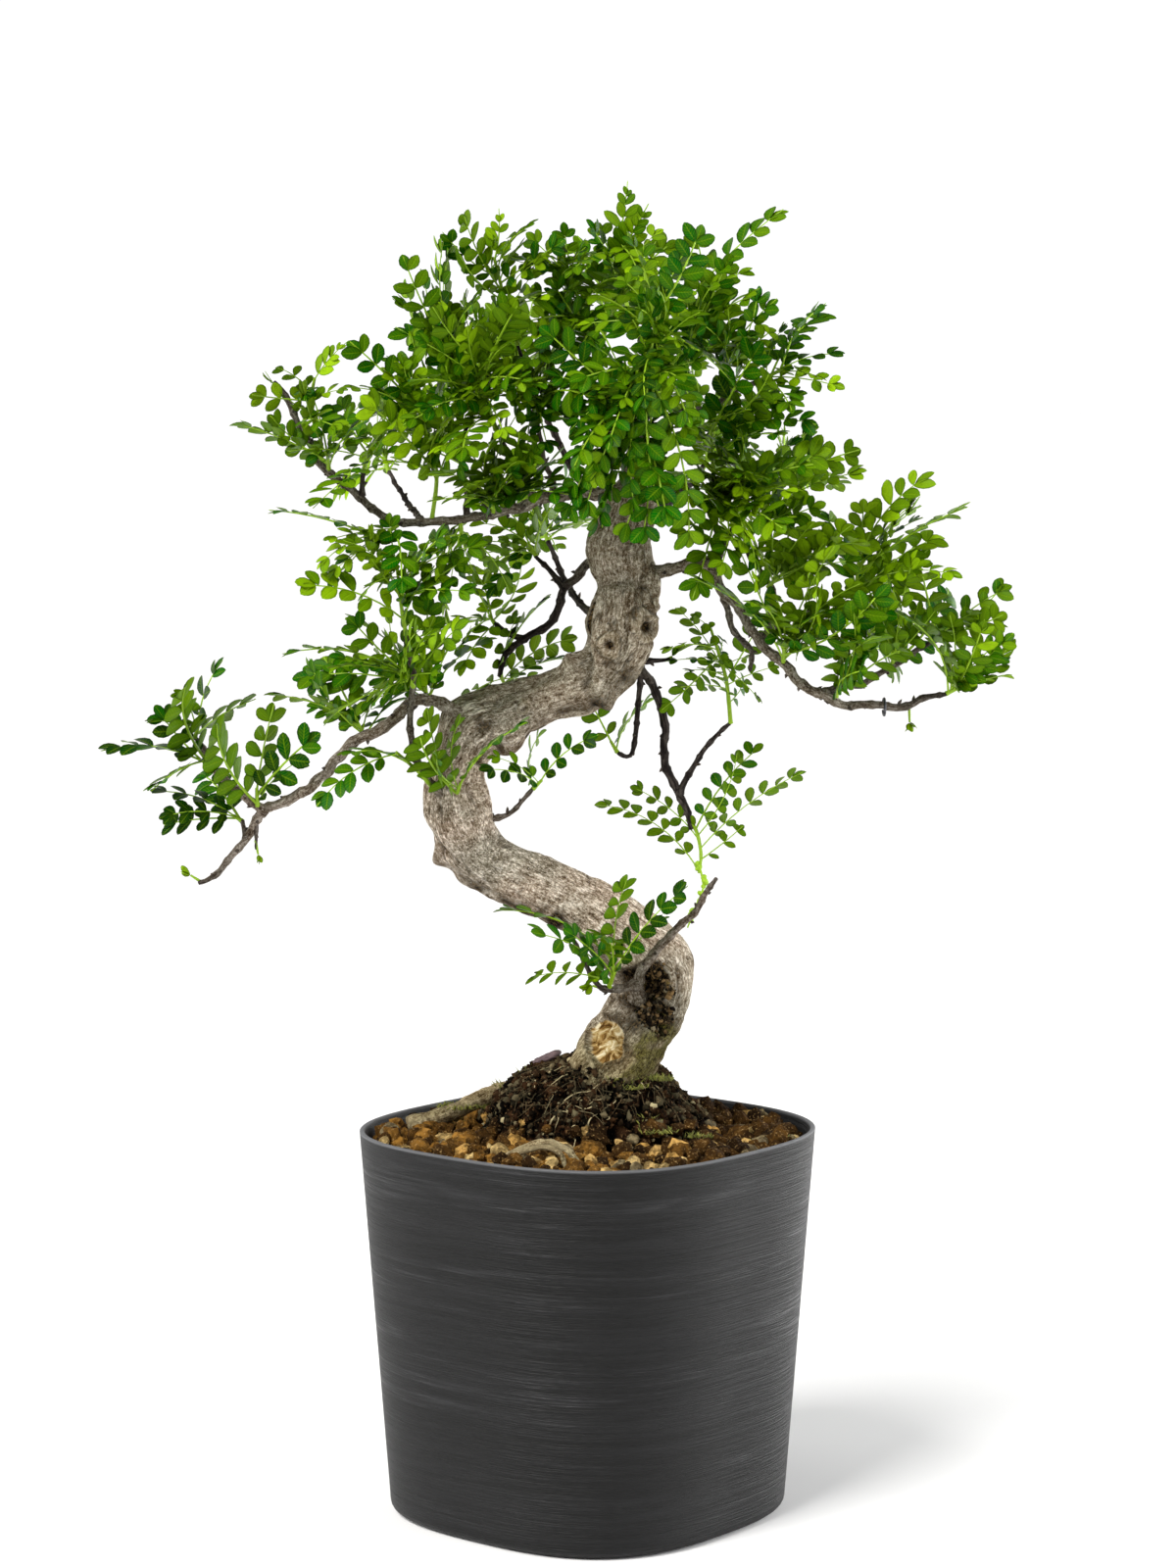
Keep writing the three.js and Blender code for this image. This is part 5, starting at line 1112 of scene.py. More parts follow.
# leafy shoots: the way of each green stem, then the tips that its fronds reach, the first from its end
shoots = {
    "crown_tip": ([(5, -2, 508), (9, -5, 525), (12, -8, 540), (14, -9, 559)], [(17, -8, 582), (26, -26, 572),
        (-1, -22, 565), (-9, 25, 556), (36, 22, 538)]),
    "crown_left": ([(6, -2, 500), (0, -6, 517), (-5, -10, 534), (-7, -12, 545)], [(-10, -16, 564),
        (-33, -26, 549), (16, -52, 538), (-23, -50, 513)]),
    "left_peak": ([(-30, -15, 512), (-35, -17, 529), (-40, -18, 549)], [(-38, -18, 570), (-22, -12, 559),
        (-54, -44, 550), (-16, -58, 530)]),
    "left_face": ([(-50, -16, 482), (-52, -18, 496), (-54, -19, 510)], [(-57, -25, 556), (-78, -20, 541),
        (-83, -14, 520), (-29, -45, 533)]),
    "left_shoulder": ([(-67, -14, 438), (-65, -16, 458), (-70, -18, 477), (-71, -18, 484)],
        [(-102, -26, 514), (-72, -20, 520), (-41, -40, 504), (-96, -50, 491)]),
    "left_end_upper": ([(-123, -14, 475), (-119, -15, 489), (-117, -15, 498)], [(-102, -18, 514),
        (-144, -22, 491), (-103, -42, 476)]),
    "left_end_middle": ([(-111, -17, 458), (-111, -26, 465)], [(-121, -34, 497), (-151, -34, 479),
        (-86, -46, 484)]),
    "left_outer": ([(-96, -20, 458), (-94, -22, 467)], [(-106, -6, 490), (-70, -50, 484), (-116, -56, 443)]),
    "left_below": ([(-82, -16, 435), (-90, -24, 429)], [(-137, -30, 442), (-116, -30, 416),
        (-79, -46, 406)]),
    "front_shoot": ([(-78, -22, 388), (-80, -22, 400), (-82, -21, 419)], [(-85, -24, 441), (-42, -32, 427),
        (-47, -40, 407), (-125, -34, 410)]),
    "front_spur": ([(-75, -23, 366), (-78, -30, 372)], [(-131, -42, 381), (-112, -56, 353),
        (-51, -48, 396)]),
    "low_knee": ([(-69, -9, 358), (-71, -6, 365)], [(-128, 4, 367), (-107, 10, 394), (-68, -8, 405),
        (-40, -4, 386)]),
    "low_middle": ([(-96, -17, 343), (-99, -15, 349)], [(-139, -16, 362), (-116, 12, 377), (-79, 34, 362)]),
    "low_hanging": ([(-66, -14, 320), (-73, -28, 330), (-82, -36, 339)], [(-116, -46, 316),
        (-104, -54, 339)]),
    "low_fork": ([(-142, -28, 315), (-142, -31, 323)], [(-134, -32, 360), (-115, -34, 347),
        (-156, -62, 354)]),
    "low_end_upper": ([(-168, -35, 345), (-166, -36, 351)], [(-155, -38, 379), (-188, -42, 352),
        (-143, -12, 360)]),
    "low_end_middle": ([(-162, -33, 334), (-166, -38, 336)], [(-208, -44, 340), (-184, -66, 325),
        (-168, -70, 370)]),
    "low_end_lower": ([(-149, -24, 308), (-153, -20, 310)], [(-189, -26, 321), (-184, -14, 305),
        (-170, 16, 324)]),
    "rear_left_upper": ([(-23, 26, 420), (-26, 27, 425)], [(-52, 20, 434), (-43, 12, 402), (-10, 54, 448)]),
    "rear_left_lower": ([(-41, 36, 389), (-44, 37, 393)], [(-66, 26, 420), (-71, 46, 383), (-30, 62, 421),
        (-56, 10, 368)]),
    "rear_left_end": ([(-39, 34, 367), (-37, 38, 362)], [(-60, 40, 344), (-4, 52, 382), (-17, 20, 402)]),
    "left_front": ([(-39, -33, 476), (-44, -44, 492), (-46, -48, 504)], [(-65, -56, 528), (-29, -72, 528),
        (-74, -76, 497), (-18, -84, 496), (-52, -84, 464)]),
    "left_back": ([(-61, 4, 477), (-64, 6, 486)], [(-91, 12, 507), (-68, 24, 522), (-41, 34, 513)]),
    "left_rear": ([(-88, 38, 456), (-90, 42, 462)], [(-118, 52, 483), (-88, 62, 498), (-113, 72, 447),
        (-66, 80, 469)]),
    "arm_front": ([(-41, -10, 440), (-40, -20, 446)], [(-66, -52, 457), (-29, -52, 476), (-7, -54, 449)]),
    "arm_below": ([(-55, -12, 436), (-54, -15, 430)], [(-78, 10, 416), (-34, 0, 405), (-58, -34, 392)]),
    "rise_front": ([(-23, -12, 485), (-20, -20, 490)], [(-4, -46, 521), (8, -64, 487), (-42, -34, 513)]),
    "front_peak": ([(18, -31, 467), (21, -50, 492), (28, -62, 513), (26, -66, 532)], [(16, -62, 558),
        (47, -70, 562), (4, -96, 532), (46, -92, 525), (-8, -80, 496), (40, -92, 496), (-6, -84, 461),
        (33, -76, 436)]),
    "right_peak": ([(36, -6, 482), (41, -10, 496), (44, -14, 515), (44, -16, 533)], [(84, -22, 570),
        (45, -18, 561), (71, -44, 533), (22, 10, 534)]),
    "right_middle": ([(62, -12, 492), (60, -14, 502), (60, -15, 510)], [(81, -20, 532), (58, 10, 542),
        (37, -54, 512)]),
    "right_end": ([(74, -12, 497), (80, -13, 500), (84, -13, 502)], [(102, -22, 530), (110, -10, 508),
        (105, 20, 525), (86, -44, 484)]),
    "mast_top": ([(54, -14, 457), (53, -15, 471), (53, -15, 482)], [(84, -26, 487), (74, -40, 514),
        (26, -46, 484), (66, -62, 456)]),
    "mast_middle": ([(54, -13, 444), (57, -19, 448)], [(103, -32, 468), (21, -60, 454), (82, -64, 435)]),
    "right_rear": ([(82, 56, 448), (88, 60, 453)], [(122, 56, 466), (98, 30, 475), (117, 100, 446),
        (85, 104, 473)]),
    "rise_top": ([(72, 4, 432), (74, 2, 438)], [(101, 0, 456), (50, 32, 444), (106, -26, 425)]),
    "rise_side": ([(78, -7, 408), (82, -15, 413)], [(118, -44, 428), (56, -54, 432), (102, 22, 432)]),
    "right_spur": ([(84, -18, 376), (84, -27, 383)], [(104, -50, 428), (127, -50, 413), (43, -62, 415)]),
    "inner_shoot": ([(115, 14, 394), (117, 12, 406), (118, 10, 419)], [(150, 4, 457), (165, -8, 443),
        (102, 34, 440), (157, 34, 428)]),
    "right_low": ([(107, -13, 359), (108, -17, 366)], [(117, -34, 402), (124, -58, 390)]),
    "fork_middle": ([(132, 3, 372), (134, 2, 380)], [(142, -4, 424), (120, 24, 411), (160, 36, 405)]),
    "fork_end": ([(153, 14, 384), (157, 16, 386)], [(186, 16, 407), (180, -6, 396), (143, -24, 415)]),
    "right_tip": ([(156, 2, 361), (161, 3, 363)], [(185, 4, 385), (183, -12, 370), (147, -30, 392),
        (128, -40, 400)]),
    "right_back": ([(124, 42, 378), (127, 46, 384)], [(150, 60, 413), (115, 72, 416), (137, 94, 362)]),
    "hanging_shoot": ([(63, 24, 346), (61, 24, 365), (57, 24, 379), (54, 24, 388)], [(45, 20, 394),
        (32, 8, 378), (73, 36, 374), (39, 44, 360)]),
    "hanging_end": ([(44, 28, 303), (48, 26, 298), (50, 22, 288), (49, 20, 280)], [(2, 6, 312),
        (68, 10, 302), (96, 22, 325), (19, 34, 317), (78, 40, 335)]),
    "hook_end": ([(13, 26, 333), (10, 26, 338)], [(-1, 18, 360), (30, 50, 355)]),
    "foot_spray": ([(9, -20, 235), (11, -30, 244), (9, -32, 251)], [(-41, -30, 270), (17, -44, 286),
        (44, -34, 282), (-25, -56, 264)]),
    "bend_end": ([(-24, -6, 320), (-20, -6, 324)], [(5, -8, 344), (-47, -24, 330), (-19, 18, 344)]),
    "bend_front": ([(-58, -8, 315), (-55, -22, 324)], [(-25, -44, 353), (-71, -52, 347)]),
    "crown_rear": ([(18, 72, 527), (16, 75, 539)], [(-5, 82, 562), (40, 72, 559), (3, 122, 522),
        (32, 118, 527)]),
    "crown_back": ([(27, 52, 490), (32, 62, 494)], [(63, 78, 518), (18, 112, 509), (56, 102, 477)]),
    "left_hind": ([(-30, 58, 497), (-33, 63, 504)], [(-57, 60, 531), (-23, 76, 540), (-62, 98, 491),
        (-18, 116, 500)]),
    "rear_right": ([(53, 84, 459), (57, 91, 466)], [(86, 100, 495), (50, 112, 504), (33, 130, 468),
        (86, 122, 446)]),
    "rear_low": ([(-18, 78, 424), (-21, 83, 430)], [(-49, 88, 453), (-13, 100, 466), (-48, 116, 410),
        (6, 124, 429)]),
}

# places in the crown that one more frond each reaches, from the stem named
reaches = {
    "front_peak": [(-8, -60, 476), (2, -72, 498), (48, -60, 478), (50, -70, 506), (8, -84, 468),
        (-4, -52, 520), (30, -50, 452), (24, -92, 486), (62, -56, 494), (12, -60, 540), (8, -54, 446),
        (20, -60, 440), (32, -60, 436), (42, -54, 426), (2, -58, 452), (-18, -62, 500), (-20, -58, 520),
        (6, -50, 434), (14, -54, 430), (-2, -50, 439), (22, -56, 428), (-6, -46, 446), (0, -48, 432),
        (-10, -44, 438)],
    "crown_left": [(-16, -34, 540), (-20, -40, 506), (2, -40, 496), (-30, -50, 520), (-6, -56, 508),
        (14, -48, 500), (-28, -46, 500), (8, -44, 524)],
    "crown_tip": [(34, -44, 508), (46, -34, 530), (-10, -40, 540), (22, -44, 536), (44, -30, 548)],
    "left_peak": [(-22, -52, 562), (-52, -44, 566), (-62, -30, 560), (-10, -36, 556)],
    "left_face": [(-78, -46, 550), (-60, -58, 556), (-84, -30, 532), (-44, -60, 532), (-70, -52, 522)],
    "left_shoulder": [(-98, -44, 470), (-58, -50, 480), (-104, -40, 494), (-50, -48, 460)],
    "left_front": [(-64, -62, 466), (-34, -66, 472), (-78, -56, 478), (-20, -64, 492), (-56, -70, 490)],
    "arm_front": [(-18, -46, 470), (-52, -52, 452), (-66, -44, 446), (-10, -40, 456), (-26, -46, 488),
        (-6, -50, 466)],
    "rise_front": [(-2, -42, 482), (-34, -48, 490), (-44, -44, 508), (-16, -46, 466), (6, -40, 470),
        (-8, -52, 478), (-24, -44, 462)],
    "mast_top": [(84, -48, 474), (40, -52, 470), (76, -50, 500), (98, -34, 478), (94, -20, 492)],
    "rise_top": [(110, -12, 464), (120, -16, 458), (98, -30, 472), (92, 10, 474)],
    "mast_middle": [(88, -56, 450), (44, -56, 446), (66, -60, 430), (96, -48, 462), (50, -52, 462),
        (38, -48, 430), (54, -54, 414), (34, -42, 448), (70, -54, 408), (44, -44, 404)],
    "hanging_shoot": [(38, 14, 398), (78, 12, 396), (34, 16, 374), (84, 18, 372), (32, 20, 352),
        (76, 16, 356)],
    "front_shoot": [(-104, -48, 430), (-60, -52, 408), (-96, -52, 404), (-58, -44, 434)],
    "front_spur": [(-66, -52, 392), (-90, -58, 362), (-62, -52, 374)],
    "low_knee": [(-104, -8, 396), (-66, -14, 396), (-112, -14, 378)],
    "rise_side": [(104, -40, 420), (84, -48, 440), (112, -36, 436)],
    "right_spur": [(104, -52, 400), (78, -56, 408), (116, -48, 412)],
    "right_low": [(136, -44, 384), (112, -50, 400), (132, -40, 404)],
    "fork_middle": [(150, -10, 398), (128, -14, 412)],
    "right_tip": [(180, -10, 386), (170, -26, 396)],
}

# fronds that a stem has besides, how many of a stem's fronds are young, and sizes other than 1
extras = {
    "crown_tip": 14, "crown_left": 18, "left_face": 12, "left_shoulder": 10, "front_peak": 22,
    "right_peak": 9, "right_middle": 9, "mast_top": 9, "mast_middle": 11, "rise_top": 6, "rise_side": 6,
    "left_front": 12, "rise_front": 12, "arm_front": 9, "crown_rear": 13, "crown_back": 13, "rear_low": 9,
    "rear_right": 9, "left_hind": 9, "inner_shoot": 8, "right_spur": 7, "foot_spray": 4, "low_hanging": 0,
    "hook_end": 0, "hanging_end": 1, "hanging_shoot": 6, "front_shoot": 6, "low_knee": 6, "low_middle": 4,
    "front_spur": 4, "bend_front": 3, "bend_end": 1, "low_fork": 1, "low_end_upper": 1, "low_end_middle": 1,
    "low_end_lower": 1,
}
youngFronds = {"crown_tip": 2, "left_peak": 2, "left_end_upper": 1}
frondSizes = {
    "hanging_end": 0.72, "foot_spray": 0.9, "hanging_shoot": 0.9, "bend_end": 0.9, "low_end_upper": 1.14,
    "low_end_middle": 1.12, "low_fork": 1.12,
}

# sprays: stems, how fronds face by their place in the crown, the fronds and their leaflets
stem = {"radius": 1.1, "tipRadius": 0.7, "spacing": 9.0, "spread": 0.75, "tipGap": 0.8, "sides": 6}
crown = {"x": 20.0, "y": 10.0, "depth": 45.0, "upward": (1.0, 0.95), "outward": (0.6, 0.7), "scatter": 1.5}
frond = {
    "arch": 0.09, "sway": 0.05, "petiole": 0.15, "wing": 0.6, "rib": 0.45, "most": 8, "mostYoung": 9,
    "extras": 4, "spare": 20, "usual": 42,
}
leaflet = {
    "pitch": 7.5, "length": 8.9, "width": 5.6, "lean": 1.12, "thickness": 0.3, "curl": 0.12, "cup": 0.22,
    "tilt": 0.3, "margin": 2.0,
    "shares": (0.1, 0.3, 0.54, 0.77, 0.93), "widths": (0.36, 0.76, 1.0, 0.86, 0.46),
}
sereSpot = {"at": (15, -62, 476), "reach": 4.5, "share": 0.7}


# even stops of a stem, and how long it is
def stemStops(rows):
    stops, far = evenStops([[*row, stem["radius"]] for row in rows], 1)
    return stops[:, :3], far[-1]


# fronds leave a stem at tipGap + gap i from its end, the gap held to its share of the length
def frondRoots(rows, count):
    stops, long = stemStops(rows)
    gap = min(stem["spacing"], long * stem["spread"] / max(count - 1, 1))
    share = np.maximum(0, 1 - (stem["tipGap"] + gap * np.arange(count)) / long)
    return stops[np.round(share * (len(stops) - 1)).astype(int)]


# fronds between the measured ones, the mean way of two neighbours swung and shortened, then those to places
def moreFronds(name, number, rows, roots, tips, count):
    stops = stemStops(rows)[0]
    n, last = np.arange(count), len(stops) - 1
    start = stops[((0.15 + 0.75 * draw(number, n, 61)) * last).astype(int)]
    ways = unit(tips - roots)
    way = ways[n % len(tips)] * (0.3 + draw(number, n, 62))[:, None] + ways[(n + 1) % len(tips)]
    way = unit(way) + 1.1 * scatter(number, n, 63)
    mean = np.linalg.norm(tips - roots, axis=1).mean()
    ends = start + unit(way) * (mean * (0.62 + 0.34 * draw(number, n, 67)))[:, None]
    places = np.array(reaches.get(name, np.zeros((0, 3))), float)
    feet = stops[((0.3 + 0.65 * draw(number, np.arange(len(places)), 68)) * last).astype(int)]
    low, high = np.array(cadLow) * 1000 + leaflet["margin"], np.array(cadHigh) * 1000 - leaflet["margin"]
    return np.concatenate([start, feet]), np.clip(np.concatenate([ends, places]), low, high)


# frame of a frond: rib way, facing up and away from the crown's axis with a scatter, and across
def frondFrames(number, order, root, tip):
    middle, length = (root + tip) / 2, np.linalg.norm(tip - root, axis=1)
    along = unit(tip - root)
    depth = np.where(middle[:, 1] < crown["y"], -crown["depth"], crown["depth"])
    away = unit(np.stack([middle[:, 0] - crown["x"], middle[:, 1] - crown["y"] + depth, 0 * depth], -1))
    measured = (order < frond["spare"])[:, None]  # the others face outwards more
    up, outward = (np.where(measured, *crown[turn]) for turn in ("upward", "outward"))
    facing = crown["scatter"] * scatter(number, order, 11) + up * (0, 0, 1) + outward * away
    facing = unit(facing - along * (facing * along).sum(1)[:, None])
    return along, facing, np.cross(facing, along), length


# rib at share s: root + along L s + facing 4 arch L s (1 - s) + across 4 sway L s (1 - s)
def ribAt(f, share):
    bow = (4 * share * (1 - share))[..., None] * f["length"][:, None, None]
    bent = f["facing"][:, None] * f["arch"][:, None, None] + f["across"][:, None] * f["sway"][:, None, None]
    straight = f["along"][:, None] * (f["length"][:, None] * share)[..., None]
    return f["root"][:, None] + straight + bow * bent


# all fronds in whole arrays: shoot and order, place and frame, and scale sqrt(L / usual) held in bounds
def gatherFronds():
    rows = []
    for number, (name, (way, tips)) in enumerate(shoots.items()):
        tips = np.array(tips, float)
        roots = frondRoots(way, len(tips))
        moreRoots, moreTips = moreFronds(name, number, way, roots, tips, extras.get(name, frond["extras"]))
        order = np.r_[np.arange(len(tips)), frond["spare"] + np.arange(len(moreTips))]
        columns = [np.full(len(order), number), order, order < youngFronds.get(name, 0)]
        rows.append(np.column_stack([*columns, np.r_[roots, moreRoots], np.r_[tips, moreTips]]))
    rows = np.concatenate(rows)
    number, order, fresh, root = rows[:, 0], rows[:, 1], rows[:, 2], rows[:, 3:6]
    along, facing, across, length = frondFrames(number, order, root, rows[:, 6:9])
    sizes = np.array([frondSizes.get(name, 1.0) for name in shoots])[number.astype(int)]
    scale = np.clip(np.sqrt(length / frond["usual"]), 0.62, 1.12)
    scale = scale * np.where(order < frond["spare"], 1.04, 0.9)
    return {
        "number": number.astype(int), "order": order, "young": fresh, "root": root, "length": length,
        "along": along, "facing": facing, "across": across, "scale": scale * sizes,
        "arch": frond["arch"] * (0.5 + draw(number, order, 14)),
        "sway": frond["sway"] * 2 * (draw(number, order, 16) - 0.5),
        "tone": draw(number, order, 17),
    }


# ribs: diamond tubes, wider than thick, thinning to the tip
def makeRibs(f):
    share = np.linspace(0, 0.97, 9)[None] + 0 * f["length"][:, None]
    spine = ribAt(f, share)
    thin = (1 - 0.55 * share) * f["scale"][:, None]
    wide = f["across"][:, None] * (frond["wing"] * thin)[..., None]
    tall = f["facing"][:, None] * (frond["rib"] * thin)[..., None]
    rings = np.stack([spine + wide, spine + tall, spine - wide, spine - tall], 2)
    return rings, np.stack([spine[:, 0] - f["along"] * 0.8, spine[:, -1] + f["along"] * 0.8], 1)


# leaflets stand in pairs along the rib, lean forward by a set angle, and one ends it
def placeLeaflets(f):
    length, fresh = f["length"], f["young"]
    end, bare = leaflet["length"] * f["scale"] * 0.9, frond["petiole"] * length
    pitch = leaflet["pitch"] * np.where(fresh > 0, 0.55, 1)
    most = np.where(fresh > 0, frond["mostYoung"], frond["most"])
    pairs = np.clip(np.round((length - bare - end) / pitch) + 1, 2, most)
    k, s = np.arange(frond["mostYoung"])[None, :, None], np.array([-1, 1])[None, None, :]

    def outer(value):
        return value[:, None, None]

    def chance(seed):
        return draw(outer(f["number"]) + 0.13 * k, outer(f["order"]) + 0.7 * s, seed)

    real = (k < outer(pairs)) & (chance(71) > 0.015)
    step = k / outer(np.maximum(pairs - 1, 1))
    share = (outer(bare) + outer(length - bare - end) * step) / outer(length)
    share = share + (chance(72) - 0.5) * 1.6 / outer(length)
    size = 0.74 + 0.34 * np.sin(np.pi * np.clip(0.2 + 0.62 * step, 0, 1)) + 0.16 * (chance(73) - 0.5)
    size = np.where(outer(fresh) > 0, 1.45 - 0.85 * step, size)
    lean = leaflet["lean"] + 0.3 * (chance(74) - 0.5) - 0.3 * step - 0.35 * outer(fresh)
    ends = np.arange(len(length))
    grids = (outer(ends), s, lean, share, size)
    last = (ends, 0 * ends, 0 * ends, 1 - end / length * 0.98, 0.92 - 0.45 * fresh)
    return [np.r_[np.broadcast_to(grid, real.shape)[real], one] for grid, one in zip(grids, last)]


# blade: spine = base + way L t - face curl L t^2, rim = spine +- wide W(t) + face cup W(t)
def bladeRings(base, way, face, long, half, curl):
    t = np.array([0, *leaflet["shares"], 1])[None, :, None]
    profile = np.array([0, *leaflet["widths"], 0])[None, :, None]
    long, half, curl = (np.broadcast_to(value, len(base))[:, None, None] for value in (long, half, curl))
    spine = base[:, None] + way[:, None] * long * t - face[:, None] * curl * long * t**2
    rim = profile * half
    cup = face[:, None] * leaflet["cup"] * rim
    thick = face[:, None] * (leaflet["thickness"] / 2) * (0.4 + 0.6 * profile)
    reach = np.cross(face, way)[:, None] * rim
    rings = np.stack([spine + reach + cup, spine + thick, spine - reach + cup, spine - thick], 2)
    return rings[:, 1:-1], spine[:, [0, -1]]


# tone of a leaflet: its own tone, lighter when young, and painted light and shade by its place: lighter high
# up, outwards and in two patches of the crown, deeper low down and far left
def leafletToneAndLight(x, z, own, chance, fresh):
    tone = 0.43 + 0.62 * (own - 0.5) + 0.4 * chance + 0.26 * fresh
    # painted light and shade by the leaflet's place in the crown
    tone = tone - 0.14 * (z < 350) - 0.36 * ease(-x, 100, 140) * (z < 400)
    high, out = ease(z, 300, 560), ease(np.abs(x - crown["x"]), 20, 110)
    left = ease(-x, 30, 60) * ease(z, 345, 380) * ease(-z, -480, -440)
    right = ease(x, 30, 60) * ease(-x, -125, -95) * ease(z, 390, 420) * ease(-z, -500, -450)
    return np.clip(tone - 0.08 + 0.1 * high + 0.16 * out + 0.1 * left + 0.28 * right, 0, 1)


# leaflets of all fronds, each with its own turn, size and tone
def makeLeaflets(f):
    chosen, side, lean, share, size = placeLeaflets(f)
    g = {name: value[chosen] for name, value in f.items()}
    base = ribAt(g, share[:, None])[:, 0]
    along = unit(ribAt(g, share[:, None] + 0.02)[:, 0] - base)

    def chance(seed):
        return draw(share * 91.7, side + 3 * g["number"], seed) - 0.5

    way = along * np.cos(lean)[:, None] + g["across"] * (side * np.sin(lean))[:, None]
    way = unit(way + g["facing"] * (0.16 + leaflet["tilt"] * chance(81))[:, None] + (0, 0, -0.08))
    face = g["facing"] + leaflet["tilt"] * np.stack([chance(82), chance(83), chance(84)], -1)
    face = unit(face - way * (face * way).sum(1)[:, None])
    long = leaflet["length"] * g["scale"] * size * (1 + 0.2 * chance(85))
    half = leaflet["width"] / 2 * g["scale"] * size * (1 + 0.22 * chance(86))
    half = half * np.where(g["young"] > 0, 0.85, 1)
    rings, ends = bladeRings(base, way, face, long, half, leaflet["curl"] * (1 + 2.4 * chance(87)))
    tone = leafletToneAndLight(base[:, 0], base[:, 2], g["tone"], chance(88), g["young"])
    sere = (np.linalg.norm(base - sereSpot["at"], axis=1) < sereSpot["reach"]) * sereSpot["share"]
    return chosen, rings, ends, tone, sere


# stem: tube with faint joints
def stemNet(rows):
    thick = np.linspace(stem["radius"], stem["tipRadius"], len(rows))
    stops, far = evenStops([[*row, r] for row, r in zip(rows, thick)], 2)
    stops[:, 3] *= 1 + 0.14 * bell(far % stem["spacing"], 1.2)
    return tubeNet(stops, stem["sides"])


# marks of the points of so many blades: along it, across it, and 1 on its underside
def bladeMarks(count):
    grid, shares = np.ones((len(leaflet["shares"]), 4)), np.array(leaflet["shares"])[:, None]
    marks = {
        "along": withPoles(grid * shares, 0, 1),
        "across": withPoles(grid * [1, 0, -1, 0], 0, 0),
        "under": withPoles(grid * [0.5, 0, 0.5, 1], 0.5, 0.5),
    }
    return {mark: np.tile(value, count) for mark, value in marks.items()}


# a spray for each shoot: its stem, ribs and leaflets
def makeSprays():
    f = gatherFronds()
    ribs, ribEnds = makeRibs(f)
    chosen, blades, bladeEnds, tone, sere = makeLeaflets(f)
    for number, (name, (way, _)) in enumerate(shoots.items()):
        mine, own = f["number"] == number, f["number"][chosen] == number
        shell = Shell(*leafMarks)
        shell.put(stemNet(way), 1, tone=0.25)
        shell.put(closedNets(ribs[mine], ribEnds[mine]), 1, tone=0.3 * f["tone"][mine])
        net = closedNets(blades[own], bladeEnds[own])
        shell.put(net, tone=tone[own], sere=sere[own], **bladeMarks(own.sum()))
        title = "spray" + "".join(word.capitalize() for word in name.split("_"))
        shell.build(title, [look["leaf"], look["stalk"]], "leaf", ["spray_" + name], 60)
    print("stage: sprays,", len(f["length"]), "fronds,", len(chosen), "leaflets")


# buds: a few small blades that open at the end of a short stalk: foot, end, heading, blades, size and tone
buds = [
    ((-167, -28, 282.5), (-171, -28, 285), (-0.6, -0.1, 0.5), 6, 5.0, 0.95),
    ((139.5, -4, 356), (139.8, -4, 349), (0.2, -0.3, -1), 5, 4.0, 0.9),
    ((10, -20, 235), (6, -23, 240), (-0.8, -0.4, 0.3), 8, 5.5, 0.9),
    ((8, -20, 234), (2, -22, 236), (-1, -0.2, -0.3), 6, 5.0, 0.85),
    ((-143, -27, 300), (-142, -27, 294), (0.3, 0, -1), 4, 3.5, 0.8),
    ((35, 18, 375), (37, 18, 376), (0.6, 0, 0.8), 3, 5.0, 0.5),
    ((-17, 19, 276), (-14, 17, 279), (0.1, 0, 1), 2, 6.0, 0.1),
    ((-14, 17, 277), (-6, 17, 276), (0.1, 0, 1), 2, 6.0, 0.1),
    ((-6, 17, 274), (2, 17, 273), (0.1, 0, 1), 2, 6.0, 0.1),
]

# green pods on a thin pale stalk that hangs from the lowest shoot
pods = {
    "stalk": [[49, 20, 284, 0.6], [51, 19, 274, 0.55], [48, 18, 266, 0.5], [44, 17, 256, 0.4]], "count": 11,
    "radius": 1.7, "gap": 2.6, "scatter": 2.2, "lump": (8, 5, 0.1),
}


# buds: blades fan out by the heading and a scatter; pods: lumps along a stalk
def makeBuds():
    shell = Shell(*leafMarks)
    for seed, (foot, at, heading, count, long, tone) in enumerate(buds):
        n = np.arange(count)
        way = unit(unit(np.array(heading, float)) + 1.1 * scatter(n, seed, 101))
        face = unit(np.cross(way, scatter(n, seed, 105)))
        base = np.array(at) + way * 0.3
        rings, ends = bladeRings(base, way, face, long * (0.7 + 0.6 * draw(n, seed, 109)), long * 0.3, 0.15)
        shell.put(closedNets(rings, ends), tone=tone, **bladeMarks(count))
        shell.put(tubeNet(evenStops([[*foot, 0.7], [*at, 0.5]], 1.5)[0], 6), 1, tone=0.3)
    shell.put(tubeNet(evenStops(pods["stalk"], 2)[0], 6), 1)
    stops, n = evenStops(pods["stalk"], pods["gap"])[0], np.arange(pods["count"])
    places = stops[n % len(stops), :3] + pods["scatter"] * scatter(n, 3, 111)
    shell.put(setLumps(places, pods["radius"] * (0.7 + 0.6 * draw(n, 4, 111)), 12, *pods["lump"]), 1)
    shell.build("budsAndPods", [look["leaf"], look["stalk"]], "leaf")


makeBuds()
makeSprays()

# small pieces
flake = {"at": (-18, 19, 197.6), "length": 13.0, "width": 8.0, "thickness": 3.0, "tip": -0.4, "square": 3}
wire = {"at": (128, -8, 356), "loop": 3.6, "radius": 0.6, "opening": 1.0, "pitch": 0.5}


